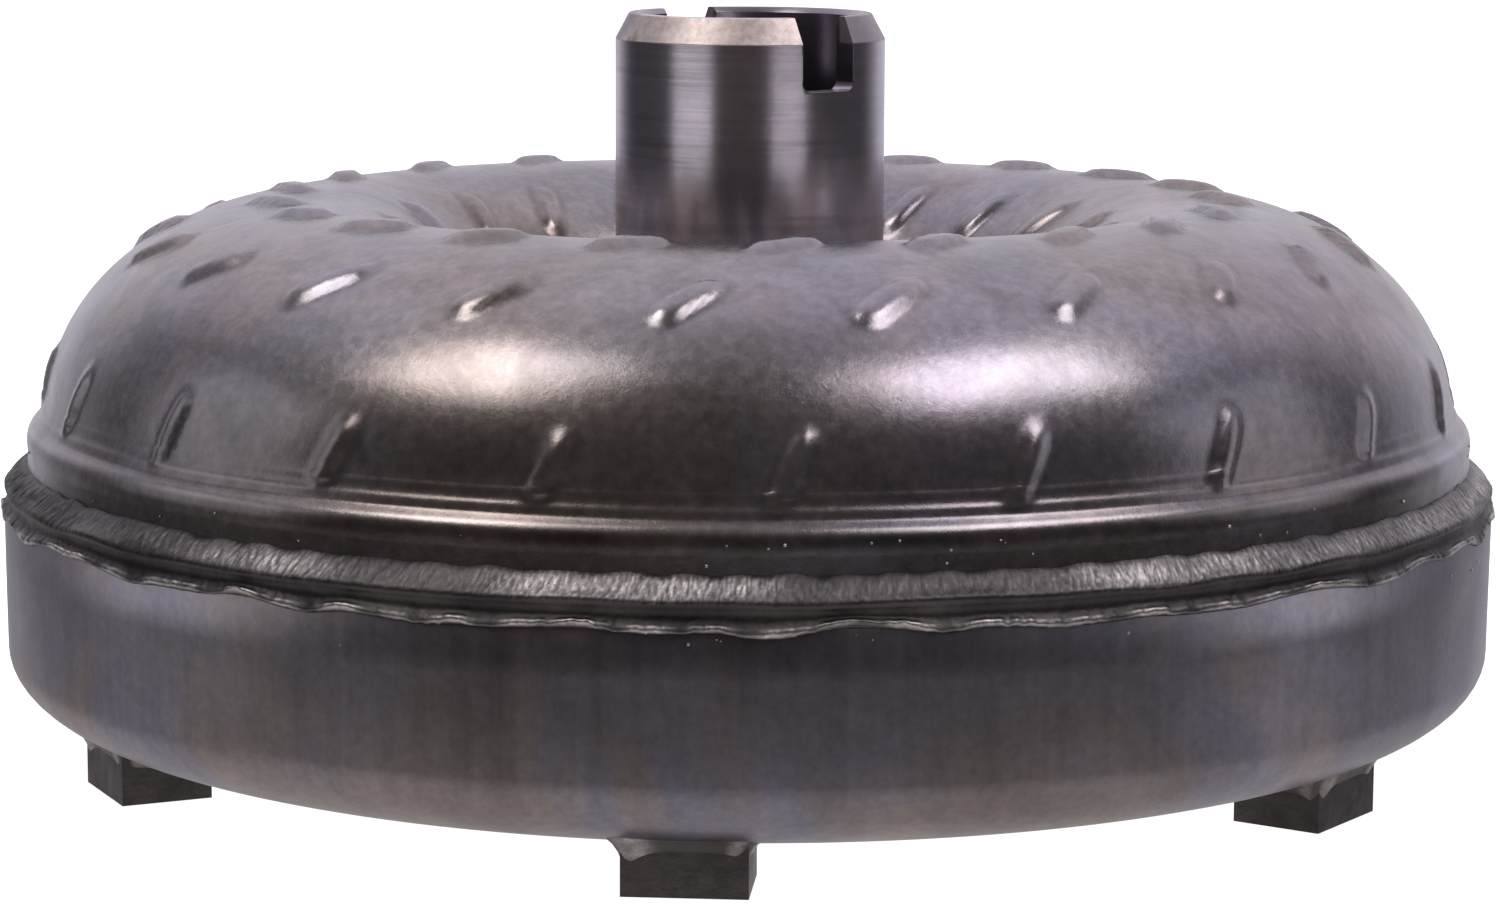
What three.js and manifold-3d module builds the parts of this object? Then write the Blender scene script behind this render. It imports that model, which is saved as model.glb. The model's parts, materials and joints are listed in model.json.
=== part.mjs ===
// Lock-up torque converter, in millimetres.
// The origin is on the turning axis in the plane of the drive lug faces. +Z points to the pump hub,
// and the first drive lug is on -Y. Angles are measured from -Y towards +X.
import * as THREE from 'three'
import { mergeVertices } from 'three/addons/utils/BufferGeometryUtils.js'
import Module from 'manifold-3d'

const wasm = await Module()
wasm.setup()

// Clearances
const touchGap = 0.3 // between pieces that rest on each other or are welded together
const runGap = 0.4 // radial gap of a piece that turns or slides on another
const bladeGap = 1.1 // blade edges to the shell that carries them

// Front cover
const coverRadius = 131.2
const coverWall = 3.6
const coverFloor = 4.5
const coverFaceHeight = 7.5 // the cover's flat face above the lug faces
const coverTopDrop = 15.5 // the cover's top edge below the torus plane

// Drive lugs
const lugCount = 6
const lugInset = 11 // from the cover's side to the lug's outer face
const lugDepth = 15.6
const lugWidth = 19.9
const lugEdge = 1
const lugThreadRadius = 4.25

// Pilot boss
const pilotRadius = 21
const pilotRecess = 1
const pilotEdge = 1.5

// Torus of the impeller shell: a half ellipse outside and inside of the crown circle
const crownRadius = 80
const torusRise = 1.5 // the torus plane above the stator's middle
const shoulderStep = 3.3 // from the skirt in to the dome's outer side
const torusInnerRadius = 45
const domeHeight = 37
const shellWall = 3
const valleyHeight = 17.5 // the shell's flat seat above the torus plane
const skirtGap = 0.3
const skirtLength = 24

// Closing weld
const weldHeight = 7.2
const weldProud = 0.7

// Impeller hub
const hubRadius = 23.8
const hubWall = 4.8
const hubEnd = 129.6
const hubEdge = 2.4
const hubEdgeHeight = 4.5
const hubFlangeReach = 10.2 // from the hub's outside
const hubFlangeThickness = 5.5
const slotAngle = 40
const slotWidth = 10.7
const slotDepth = 12.7

// Blades
const impellerBladeCount = 21
const turbineBladeCount = 19
const stampedThickness = 1.2
const impellerSweep = -0.4235 // degrees of turn for each millimetre outwards
const impellerBladeAngle = 7.57 // of the blade's outer end
const turbineSweep = 0.35
const coreInnerReach = 14
const outerPassage = 22
const innerPassage = 20
const coreRise = 5 // the core's crown over the stator
const bladePlaneGap = 1.2 // from the torus plane to the blades' facing edges

// Turbine
const wheelGap = 2 // between the impeller's and the turbine's planes
const turbineTipGap = 1
const turbineDrop = 26
const turbineWall = 2
const turbineHubRadius = 25
const turbineHubBore = 11.5
const turbineHubLength = 27.5
const turbineFlangeRadius = 42
const turbineFlangeThickness = 3.5
const rivetCount = 6
const rivetCircle = 36
const rivetRadius = 2.4

// Thrust bearings
const raceThickness = 1
const cageThickness = 1.3
const needleCount = 6

// Stator and one-way clutch
const innerRaceBore = 14.5
const innerRaceRadius = 25
const innerRaceLength = 20
const rollerRadius = 3
const rollerLength = 9
const rollerCount = 8
const rampRoom = 0.5
const camRaceWall = 11.4
const camRaceHeight = 13
const clutchPlateThickness = 1.4
const statorHubWall = 6.5
const statorRimWall = 2.5
const statorHeight = 18
const statorVaneCount = 13
const statorVaneTurn = 32

// Lock-up piston and damper
const liningInset = 13.6 // from the cover's inner side
const liningWidth = 22
const liningThickness = 1.2
const liningClearance = 1.1
const pistonThickness = 3
const pistonSleeveWall = 3.6
const pistonSleeveHeight = 8
const pistonRimHeight = 12
const springCount = 6
const springInset = 10 // from the lining's outer edge
const springRadius = 4.5
const springWire = 1.1
const springSpan = 24
const springTurns = 4
const keyCount = 4
const keyWidth = 5

const bigRound = 36
const midRound = 24
const raceRound = 16
const smallRound = 10

const finishes = {
  coverSteel: { color: 0x4a4541, roughness: 0.38, metalness: 0.9 },
  shellSteel: { color: 0x59544f, roughness: 0.36, metalness: 0.9 },
  groundSteel: { color: 0x8b8a88, roughness: 0.25, metalness: 1 },
  weldSteel: { color: 0x6e6862, roughness: 0.45, metalness: 0.9 },
  lugSteel: { color: 0x3a3836, roughness: 0.55, metalness: 0.8 },
  bladeSteel: { color: 0x77777a, roughness: 0.4, metalness: 0.9 },
  castAluminium: { color: 0xa9abad, roughness: 0.5, metalness: 0.8 },
  lining: { color: 0x6a4d38, roughness: 0.9, metalness: 0 },
  springSteel: { color: 0x50525a, roughness: 0.35, metalness: 0.9 },
  cagePlastic: { color: 0x2b2926, roughness: 0.7, metalness: 0 },
}

const radians = THREE.MathUtils.degToRad
const converter = new THREE.Group()

// A closed geometry becomes a solid with its faces pointing out.
function solidFrom(geometry) {
  const bare = geometry.clone()
  bare.deleteAttribute('normal')
  bare.deleteAttribute('uv')
  const merged = mergeVertices(bare, 1e-4)
  const vertices = new Float32Array(merged.attributes.position.array)
  const corner = (i) => new THREE.Vector3(vertices[3 * i], vertices[3 * i + 1], vertices[3 * i + 2])
  const triangles = []
  let volume = 0
  for (let i = 0; i < merged.index.count; i += 3) {
    const [a, b, c] = [0, 1, 2].map((k) => merged.index.array[i + k])
    if (a === b || b === c || a === c) continue
    volume += corner(a).dot(corner(b).cross(corner(c)))
    triangles.push(a, b, c)
  }
  if (volume < 0) triangles.reverse()
  const mesh = new wasm.Mesh({
    numProp: 3,
    vertProperties: vertices,
    triVerts: new Uint32Array(triangles),
  })
  return new wasm.Manifold(mesh)
}

function addPiece(name, solid, finish, parent = converter) {
  const mesh = solid.getMesh()
  const geometry = new THREE.BufferGeometry()
  geometry.setAttribute('position', new THREE.BufferAttribute(mesh.vertProperties, 3))
  geometry.setIndex(new THREE.BufferAttribute(mesh.triVerts, 1))
  geometry.computeVertexNormals()
  const piece = new THREE.Mesh(geometry, new THREE.MeshStandardMaterial(finishes[finish]))
  piece.name = name
  parent.add(piece)
  return piece
}

// A group turned about the axis, so that what it holds points to the given angle.
function turned(degrees) {
  const holder = new THREE.Group()
  holder.rotation.z = radians(degrees)
  converter.add(holder)
  return holder
}

// A profile of [radius, height] points, turned about the Z axis.
function lathe(profile, segments) {
  const points = profile.map(([r, z]) => new THREE.Vector2(r, z))
  const closes = profile[0][0] > 0
  if (closes) points.push(points[0].clone())
  const geometry = new THREE.LatheGeometry(points, segments)
  geometry.rotateX(Math.PI / 2)
  return solidFrom(geometry)
}

function ring(inner, outer, low, high, segments) {
  return lathe([[inner, low], [outer, low], [outer, high], [inner, high]], segments)
}

function post(radius, low, high, segments, x = 0, y = 0) {
  const geometry = new THREE.CylinderGeometry(radius, radius, high - low, segments)
  geometry.rotateX(Math.PI / 2)
  geometry.translate(x, y, (low + high) / 2)
  return solidFrom(geometry)
}

function block(width, depth, height, x, y, z, degrees = 0) {
  const geometry = new THREE.BoxGeometry(width, depth, height)
  geometry.translate(x, y, z)
  geometry.rotateZ(radians(degrees))
  return solidFrom(geometry)
}

// A flat outline of [x, y] points, raised from low to high.
function plate(outline, low, high) {
  const shape = new THREE.Shape(outline.map(([x, y]) => new THREE.Vector2(x, y)))
  const geometry = new THREE.ExtrudeGeometry(shape, { depth: high - low, bevelEnabled: false })
  geometry.translate(0, 0, low)
  return solidFrom(geometry)
}

// The outline of part of a ring between two angles, measured from +X.
function arcOutline(inner, outer, from, to, steps) {
  const outline = []
  for (let i = 0; i <= steps; i++) {
    const a = radians(from + ((to - from) * i) / steps)
    outline.push([outer * Math.cos(a), outer * Math.sin(a)])
  }
  for (let i = steps; i >= 0; i--) {
    const a = radians(from + ((to - from) * i) / steps)
    outline.push([inner * Math.cos(a), inner * Math.sin(a)])
  }
  return outline
}

// Points along a torus section: half ellipses that meet at the crown, from the outer side inwards.
// side is 1 above the plane and -1 below it.
function torusArc(section, from, to, steps, side) {
  const points = []
  for (let i = 0; i <= steps; i++) {
    const a = radians(from + ((to - from) * i) / steps)
    const reach = Math.cos(a) > 0 ? section.outer : section.inner
    const r = section.centre + reach * Math.cos(a)
    points.push([r, section.plane + side * section.height * Math.sin(a)])
  }
  return points
}

// The angle on the inner half of a torus section where it stands the given height off its plane.
function innerAngle(section, height) {
  return 180 - THREE.MathUtils.radToDeg(Math.asin(height / section.height))
}

function inset(section, amount) {
  return {
    centre: section.centre,
    plane: section.plane,
    outer: section.outer - amount,
    inner: section.inner - amount,
    height: section.height - amount,
  }
}

// Blades stand on the meridional outline and turn about the axis as the radius grows.
function bladeRing(outline, count, firstAngle, outerRadius, sweep, core) {
  let solid = core
  for (let i = 0; i < count; i++) {
    const shape = new THREE.Shape(outline.map(([r, z]) => new THREE.Vector2(r, z)))
    const geometry = new THREE.ExtrudeGeometry(shape, {
      depth: stampedThickness,
      bevelEnabled: false,
    })
    geometry.translate(0, 0, -stampedThickness / 2)
    const position = geometry.attributes.position
    for (let k = 0; k < position.count; k++) {
      const r = position.getX(k)
      const z = position.getY(k)
      const side = position.getZ(k)
      const turn = firstAngle + (360 * i) / count + (r - outerRadius) * sweep
      const a = radians(turn - 90)
      const x = r * Math.cos(a) - side * Math.sin(a)
      const y = r * Math.sin(a) + side * Math.cos(a)
      position.setXYZ(k, x, y, z)
    }
    solid = solid.add(solidFrom(geometry))
  }
  return solid
}

// ---- Stack of pieces on the axis, from the cover upwards
const bearingHeight = 2 * raceThickness + 2 * touchGap + cageThickness
const coverFloorTop = coverFaceHeight + coverFloor
const frontBearing = coverFloorTop + touchGap
const turbineHubLow = frontBearing + bearingHeight + touchGap
const turbineHubTop = turbineHubLow + turbineHubLength
const middleBearing = turbineHubTop + touchGap
const innerRaceLow = middleBearing + bearingHeight + touchGap
const innerRaceTop = innerRaceLow + innerRaceLength
const rearBearing = innerRaceTop + touchGap
const hubFlangeLow = rearBearing + bearingHeight + touchGap
const hubFlangeTop = hubFlangeLow + hubFlangeThickness
const statorMiddle = (innerRaceLow + innerRaceTop) / 2
const torusPlane = statorMiddle + torusRise
const turbinePlane = torusPlane - wheelGap

// ---- Front cover
const coverInner = coverRadius - coverWall
const coverTop = torusPlane - coverTopDrop
const cover = lathe([
  [0, coverFaceHeight],
  [coverRadius - 20, coverFaceHeight],
  [coverRadius - 12.7, coverFaceHeight + 1.6],
  [coverRadius - 7.8, coverFaceHeight + 3],
  [coverRadius - 3.1, coverFaceHeight + 5.6],
  [coverRadius - 1.2, coverFaceHeight + 8.2],
  [coverRadius - 0.3, coverFaceHeight + 11],
  [coverRadius, coverFaceHeight + 18],
  [coverRadius + 0.3, coverTop],
  [coverInner, coverTop],
  [coverInner, coverFloorTop + 9],
  [coverInner - 1.8, coverFloorTop + 5.2],
  [coverInner - 5.6, coverFloorTop + 2.4],
  [coverInner - 12.6, coverFloorTop],
  [0, coverFloorTop],
], bigRound)
addPiece('front_cover', cover, 'coverSteel')

// ---- Pilot boss
const pilot = lathe([
  [0, pilotRecess],
  [pilotRadius - pilotEdge, pilotRecess],
  [pilotRadius, pilotRecess + pilotEdge],
  [pilotRadius, coverFaceHeight - touchGap],
  [0, coverFaceHeight - touchGap],
], midRound)
addPiece('pilot_boss', pilot, 'groundSteel')

// ---- Drive lugs: the top follows the cover's rounded edge
const lugOuter = coverRadius - lugInset
const lugInner = lugOuter - lugDepth
const lugCentre = (lugOuter + lugInner) / 2
const lugBend = coverRadius - 20
const lugTop = coverFaceHeight - touchGap
const lugOutline = [
  [lugInner, lugEdge],
  [lugInner + lugEdge, 0],
  [lugOuter - lugEdge, 0],
  [lugOuter, lugEdge],
  [lugOuter, lugTop + (lugOuter - lugBend) * 0.215],
  [Math.max(lugBend, lugInner + lugEdge), lugTop],
  [lugInner, lugTop],
]
const lugShape = new THREE.Shape(lugOutline.map(([r, z]) => new THREE.Vector2(r, z)))
const lugBar = new THREE.ExtrudeGeometry(lugShape, { depth: lugWidth, bevelEnabled: false })
lugBar.translate(0, 0, -lugWidth / 2)
lugBar.rotateX(Math.PI / 2)
const lugHole = post(lugThreadRadius, -1, coverFaceHeight + 4, smallRound, lugCentre, 0)
const lug = solidFrom(lugBar).subtract(lugHole)
for (let i = 0; i < lugCount; i++) {
  const holder = turned(-90 + (360 * i) / lugCount)
  addPiece(`drive_lug_${i + 1}`, lug, 'lugSteel', holder)
}

// ---- Impeller shell
const skirtRadius = coverInner - skirtGap
const domeSide = skirtRadius - shoulderStep
const domeReach = domeSide - crownRadius
const domeInnerReach = crownRadius - torusInnerRadius
const shellOuterSection = {
  centre: crownRadius,
  plane: torusPlane,
  outer: domeReach,
  inner: domeInnerReach,
  height: domeHeight,
}
const shellInnerSection = inset(shellOuterSection, shellWall)
const skirtInner = skirtRadius - shellWall
const skirtBottom = torusPlane - 4 - skirtLength
const shellSeatTop = torusPlane + valleyHeight
const shellSeatLow = shellSeatTop - shellWall
const hubBoreRadius = hubRadius - hubWall
const hubFlangeRadius = hubRadius + hubFlangeReach
const shellHole = hubFlangeRadius + touchGap
const shell = lathe([
  [skirtRadius, skirtBottom],
  [skirtRadius, torusPlane - 4.5],
  [(skirtRadius * 3 + domeSide) / 4, torusPlane - 2],
  [(skirtRadius + domeSide * 2) / 3, torusPlane],
  ...torusArc(shellOuterSection, 4, innerAngle(shellOuterSection, valleyHeight), 10, 1),
  [shellHole, shellSeatTop],
  [shellHole, shellSeatLow],
  ...torusArc(shellInnerSection, 2, innerAngle(shellInnerSection, valleyHeight - shellWall), 8, 1)
    .reverse(),
  [skirtInner, torusPlane - 4.5],
  [skirtInner, skirtBottom],
], bigRound)
addPiece('impeller_shell', shell, 'shellSteel')

// ---- Closing weld, over the cover's top edge and against the shell's skirt
const weldInner = skirtRadius + touchGap
const weldLow = coverTop + touchGap
const weld = lathe([
  [weldInner, weldLow],
  [coverRadius + 0.3, weldLow],
  [coverRadius + weldProud, weldLow + weldHeight * 0.17],
  [coverRadius - 0.2, weldLow + weldHeight * 0.45],
  [coverRadius - 1.8, weldLow + weldHeight * 0.75],
  [weldInner + 0.4, weldLow + weldHeight],
  [weldInner, weldLow + weldHeight],
], bigRound)
addPiece('closing_weld', weld, 'weldSteel')

// ---- Impeller hub with its two drive slots
let hub = lathe([
  [hubBoreRadius, hubFlangeLow],
  [hubFlangeRadius, hubFlangeLow],
  [hubFlangeRadius, hubFlangeTop],
  [hubRadius + 1.5, hubFlangeTop],
  [hubRadius, hubFlangeTop + 1.5],
  [hubRadius, hubEnd - hubEdgeHeight],
  [hubRadius - hubEdge, hubEnd],
  [hubBoreRadius + 0.6, hubEnd],
  [hubBoreRadius, hubEnd - 0.6],
], midRound)
const slotRadius = (hubBoreRadius + hubRadius) / 2
for (const angle of [slotAngle, slotAngle + 180]) {
  const reach = 3 * (hubRadius - hubBoreRadius)
  const slot = block(slotWidth, reach, 2 * slotDepth, 0, -slotRadius, hubEnd, angle)
  hub = hub.subtract(slot)
}
addPiece('impeller_hub', hub, 'groundSteel')

// ---- Weld between the hub flange and the shell seat
const hubWeldLow = Math.max(shellSeatTop, hubFlangeTop) + touchGap
const hubWeld = lathe([
  [shellHole - 3, hubWeldLow],
  [shellHole + 3, hubWeldLow],
  [shellHole + 1.4, hubWeldLow + 1.5],
  [shellHole - 1.4, hubWeldLow + 1.5],
], midRound)
addPiece('hub_weld', hubWeld, 'weldSteel')

// ---- Stator zone, which the blades stop short of
const statorLow = statorMiddle - statorHeight / 2
const statorHigh = statorMiddle + statorHeight / 2
const rollerCircle = innerRaceRadius + touchGap + rollerRadius
const camRaceInner = rollerCircle + rollerRadius + rampRoom
const camRaceRadius = camRaceInner + camRaceWall
const statorBore = camRaceRadius + touchGap
const statorHubRadius = statorBore + statorHubWall

const coreInnerEdge = torusInnerRadius + shellWall + innerPassage
const coreCentre = coreInnerEdge + coreInnerReach
const coreReach = domeSide - shellWall - outerPassage - coreCentre
const coreHeight = statorHeight / 2 + coreRise
const statorVaneReach = coreInnerEdge - statorHubRadius
const statorVaneRadius = coreInnerEdge

// ---- Impeller blades and core
const impellerPassage = inset(shellInnerSection, bladeGap)
const impellerCore = {
  centre: coreCentre,
  plane: torusPlane,
  outer: coreReach,
  inner: coreInnerReach,
  height: coreHeight,
}
const impellerCoreEnd = innerAngle(impellerCore, statorHigh + 1.2 - torusPlane)
const impellerShellEnd = innerAngle(impellerPassage, valleyHeight - shellWall + bladeGap)
const coreStart = THREE.MathUtils.radToDeg(Math.asin(bladePlaneGap / coreHeight))
const passageStart = THREE.MathUtils.radToDeg(Math.asin(bladePlaneGap / impellerPassage.height))
const impellerOutline = [
  ...torusArc(impellerPassage, passageStart, impellerShellEnd, 6, 1),
  ...torusArc(inset(impellerCore, stampedThickness / 2), coreStart, impellerCoreEnd, 3, 1)
    .reverse(),
]
const impellerCoreRing = lathe([
  ...torusArc(impellerCore, coreStart, impellerCoreEnd, 3, 1),
  ...torusArc(inset(impellerCore, stampedThickness), coreStart, impellerCoreEnd, 3, 1).reverse(),
], midRound)
const impellerBlades = bladeRing(
  impellerOutline, impellerBladeCount, impellerBladeAngle, domeSide, impellerSweep, impellerCoreRing)
addPiece('impeller_blade_ring', impellerBlades, 'bladeSteel')

// ---- Turbine hub
const turbineFlangeTop = turbineHubTop - 0.6 - turbineWall - touchGap
const turbineFlangeLow = turbineFlangeTop - turbineFlangeThickness
const keyDepth = 1.6
const sealLow = turbineHubLow + 1.4
const sealHeight = 2
const sealDepth = 1.8
let turbineHub = lathe([
  [turbineHubBore, turbineHubLow],
  [turbineHubRadius, turbineHubLow],
  [turbineHubRadius, sealLow - touchGap],
  [turbineHubRadius - sealDepth - touchGap, sealLow - touchGap],
  [turbineHubRadius - sealDepth - touchGap, sealLow + sealHeight + touchGap],
  [turbineHubRadius, sealLow + sealHeight + touchGap],
  [turbineHubRadius, turbineFlangeLow],
  [turbineFlangeRadius, turbineFlangeLow],
  [turbineFlangeRadius, turbineFlangeTop],
  [turbineHubRadius + 0.5, turbineFlangeTop],
  [turbineHubRadius + 0.5, turbineHubTop],
  [turbineHubBore, turbineHubTop],
], midRound)
const pistonLow = coverFloorTop + liningClearance + liningThickness + touchGap
const pistonTop = pistonLow + pistonThickness
const pistonSleeveTop = pistonLow + pistonSleeveHeight
const drivenLow = pistonSleeveTop + touchGap + 0.5
const drivenCollarHeight = 6.5
for (let i = 0; i < keyCount; i++) {
  const groove = block(
    2 * (keyDepth + touchGap), keyWidth + 2 * touchGap, drivenCollarHeight + 4,
    turbineHubRadius, 0, drivenLow - 2 + (drivenCollarHeight + 4) / 2, (360 * i) / keyCount)
  turbineHub = turbineHub.subtract(groove)
}
for (let i = 0; i < rivetCount; i++) {
  const a = radians((360 * i) / rivetCount)
  const hole = post(rivetRadius + touchGap, turbineFlangeLow - 1, turbineFlangeTop + 1,
    smallRound, rivetCircle * Math.cos(a), rivetCircle * Math.sin(a))
  turbineHub = turbineHub.subtract(hole)
}
addPiece('turbine_hub', turbineHub, 'groundSteel')

// ---- Turbine shell
const turbineReach = domeReach - shellWall - turbineTipGap
const turbineInnerReach = domeInnerReach - turbineTipGap
const turbineOuterSection = {
  centre: crownRadius,
  plane: turbinePlane,
  outer: turbineReach,
  inner: turbineInnerReach,
  height: turbineDrop,
}
const turbineInnerSection = inset(turbineOuterSection, turbineWall)
const turbineSeatLow = turbineFlangeTop + touchGap
const turbineSeatTop = turbineSeatLow + turbineWall
const turbineOuterEnd = innerAngle(turbineOuterSection, turbinePlane - turbineSeatLow)
const turbineInnerEnd = innerAngle(turbineInnerSection, turbinePlane - turbineSeatTop)
let turbineShell = lathe([
  ...torusArc(turbineOuterSection, 0, turbineOuterEnd, 8, -1),
  [turbineHubRadius + 0.5 + runGap, turbineSeatLow],
  [turbineHubRadius + 0.5 + runGap, turbineSeatTop],
  ...torusArc(turbineInnerSection, 0, turbineInnerEnd, 8, -1).reverse(),
], bigRound)
for (let i = 0; i < rivetCount; i++) {
  const a = radians((360 * i) / rivetCount)
  const hole = post(rivetRadius + touchGap, turbineSeatLow - 1, turbineSeatTop + 1,
    smallRound, rivetCircle * Math.cos(a), rivetCircle * Math.sin(a))
  turbineShell = turbineShell.subtract(hole)
}
addPiece('turbine_shell', turbineShell, 'shellSteel')

// ---- Rivets through the turbine shell and hub flange
const rivet = lathe([
  [0, turbineFlangeLow - 1.6],
  [rivetRadius * 1.5, turbineFlangeLow - 1.6],
  [rivetRadius * 1.7, turbineFlangeLow - touchGap],
  [rivetRadius, turbineFlangeLow - touchGap],
  [rivetRadius, turbineSeatTop + touchGap],
  [rivetRadius * 1.7, turbineSeatTop + touchGap],
  [rivetRadius * 1.5, turbineSeatTop + 1.6],
  [0, turbineSeatTop + 1.6],
], smallRound)
for (let i = 0; i < rivetCount; i++) {
  const a = radians((360 * i) / rivetCount)
  const piece = addPiece(`turbine_rivet_${i + 1}`, rivet, 'groundSteel')
  piece.position.set(rivetCircle * Math.cos(a), rivetCircle * Math.sin(a), 0)
}

// ---- Turbine blades and core
const turbinePassage = inset(turbineInnerSection, bladeGap)
const turbineCore = {
  centre: coreCentre,
  plane: turbinePlane,
  outer: coreReach - 1,
  inner: coreInnerReach - 1,
  height: coreHeight - 3,
}
const turbineCoreStart = THREE.MathUtils.radToDeg(Math.asin(0.5 / turbineCore.height))
const turbineCoreEnd = innerAngle(turbineCore, turbinePlane - (statorLow - 1.2))
const turbineShellEnd = innerAngle(turbinePassage, turbinePlane - turbineSeatTop - bladeGap)
const turbineOutline = [
  ...torusArc(turbinePassage, 1, turbineShellEnd, 6, -1),
  ...torusArc(inset(turbineCore, stampedThickness / 2), turbineCoreStart, turbineCoreEnd, 3, -1)
    .reverse(),
]
const turbineCoreRing = lathe([
  ...torusArc(turbineCore, turbineCoreStart, turbineCoreEnd, 3, -1),
  ...torusArc(inset(turbineCore, stampedThickness), turbineCoreStart, turbineCoreEnd, 3, -1)
    .reverse(),
], midRound)
const turbineBlades = bladeRing(
  turbineOutline, turbineBladeCount, 0, crownRadius + turbineReach, turbineSweep, turbineCoreRing)
addPiece('turbine_blade_ring', turbineBlades, 'bladeSteel')

// ---- Lock-up piston, its lining and its seal ring
const liningOuter = coverInner - liningInset
const liningInner = liningOuter - liningWidth
const liningLow = coverFloorTop + liningClearance
const lining = ring(liningInner, liningOuter, liningLow, liningLow + liningThickness, bigRound)
addPiece('friction_lining', lining, 'lining')

const pistonBore = turbineHubRadius + runGap
const pistonRadius = liningOuter + 3.5
const piston = lathe([
  [pistonBore, pistonLow],
  [pistonRadius - 1.5, pistonLow],
  [pistonRadius + 0.8, pistonLow + 2.2],
  [pistonRadius + 0.8, pistonLow + pistonRimHeight],
  [pistonRadius - 1.4, pistonLow + pistonRimHeight],
  [pistonRadius - 1.4, pistonTop],
  [pistonBore + pistonSleeveWall, pistonTop],
  [pistonBore + pistonSleeveWall, pistonSleeveTop],
  [pistonBore, pistonSleeveTop],
], bigRound)
addPiece('lockup_piston', piston, 'shellSteel')

const sealRing = ring(turbineHubRadius - sealDepth, turbineHubRadius + 0.1,
  sealLow, sealLow + sealHeight, midRound)
addPiece('piston_seal_ring', sealRing, 'cagePlastic')

// ---- Damper: spring retainer, springs and the driven plate between them
const springCircle = liningOuter - springInset
const springLow = pistonTop + touchGap + 1.5 + 0.4
const springHeight = springLow + springRadius
const retainerRadius = springCircle + springRadius + 5.2
const stopSpan = 360 / springCount - springSpan - 1.4
let retainer = ring(springCircle - 8, retainerRadius, pistonTop + touchGap,
  pistonTop + touchGap + 1.5, bigRound)
retainer = retainer.add(ring(retainerRadius - 1.6, retainerRadius, pistonTop + touchGap,
  springHeight + springRadius - 1, bigRound))
const drivenThickness = 2
for (let i = 0; i < springCount; i++) {
  const middle = (360 * i) / springCount
  const outline = arcOutline(springCircle - 4, springCircle + 4,
    middle - stopSpan / 2, middle + stopSpan / 2, 5)
  const stop = plate(outline, pistonTop + touchGap + 1, drivenLow - touchGap)
  retainer = retainer.add(stop)
}
addPiece('spring_retainer', retainer, 'shellSteel')

class SpringPath extends THREE.Curve {
  getPoint(t, target = new THREE.Vector3()) {
    const along = radians(springSpan * (t - 0.5))
    const wound = 2 * Math.PI * springTurns * t
    const r = springCircle + (springRadius - springWire) * Math.cos(wound)
    const z = (springRadius - springWire) * Math.sin(wound)
    return target.set(r * Math.cos(along), r * Math.sin(along), z)
  }
}
const wireOutline = []
for (let i = 0; i < 4; i++) {
  const a = (2 * Math.PI * i) / 4
  wireOutline.push(new THREE.Vector2(springWire * Math.cos(a), springWire * Math.sin(a)))
}
const spring = solidFrom(new THREE.ExtrudeGeometry(new THREE.Shape(wireOutline), {
  steps: springTurns * 7,
  extrudePath: new SpringPath(),
  bevelEnabled: false,
}))
for (let i = 0; i < springCount; i++) {
  const holder = turned((360 * (i + 0.5)) / springCount)
  const piece = addPiece(`damper_spring_${i + 1}`, spring, 'springSteel', holder)
  piece.position.z = springHeight
}

const drivenRadius = retainerRadius - 1.6 - 2 * runGap
const drivenBore = turbineHubRadius + runGap
let driven = lathe([
  [drivenBore, drivenLow],
  [drivenRadius, drivenLow],
  [drivenRadius, drivenLow + drivenThickness],
  [drivenBore + 4, drivenLow + drivenThickness],
  [drivenBore + 4, drivenLow + drivenCollarHeight],
  [drivenBore, drivenLow + drivenCollarHeight],
], bigRound)
for (let i = 0; i < springCount; i++) {
  const middle = (360 * (i + 0.5)) / springCount
  const outline = arcOutline(springCircle - springRadius - 0.5, springCircle + springRadius + 0.5,
    middle - springSpan / 2 - 1.2, middle + springSpan / 2 + 1.2, 4)
  driven = driven.subtract(plate(outline, drivenLow - 1, drivenLow + drivenThickness + 1))
}
for (let i = 0; i < keyCount; i++) {
  const key = block(keyDepth + 1, keyWidth, drivenCollarHeight - 0.5,
    drivenBore + 0.5 - keyDepth / 2, 0, drivenLow + drivenCollarHeight / 2, (360 * i) / keyCount)
  driven = driven.add(key)
}
addPiece('damper_driven_plate', driven, 'shellSteel')

// ---- Stator wheel
const vaneLow = statorLow + 1
const vaneHigh = statorHigh - 1
let stator = ring(statorBore, statorHubRadius, statorLow, statorHigh, midRound)
stator = stator.add(ring(statorVaneRadius, statorVaneRadius + statorRimWall,
  statorLow + 0.5, statorHigh - 0.5, midRound))
for (let i = 0; i < statorVaneCount; i++) {
  const length = statorVaneReach + 1.6
  const geometry = new THREE.BoxGeometry(length, 2.6, vaneHigh - vaneLow, 1, 1, 2)
  const position = geometry.attributes.position
  for (let k = 0; k < position.count; k++) {
    const height = position.getZ(k) / (vaneHigh - vaneLow)
    const slope = Math.tan(radians(statorVaneTurn)) * (vaneHigh - vaneLow)
    const thin = 1 - 0.6 * Math.abs(height)
    position.setY(k, position.getY(k) * thin + slope * (height + height * height))
  }
  geometry.translate(statorHubRadius + statorVaneReach / 2, 0, (vaneLow + vaneHigh) / 2)
  geometry.rotateZ(radians((360 * i) / statorVaneCount))
  stator = stator.add(solidFrom(geometry))
}
addPiece('stator_wheel', stator, 'castAluminium')

// ---- One-way clutch
const innerRace = ring(innerRaceBore, innerRaceRadius, innerRaceLow, innerRaceTop, midRound)
addPiece('stator_inner_race', innerRace, 'groundSteel')

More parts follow.
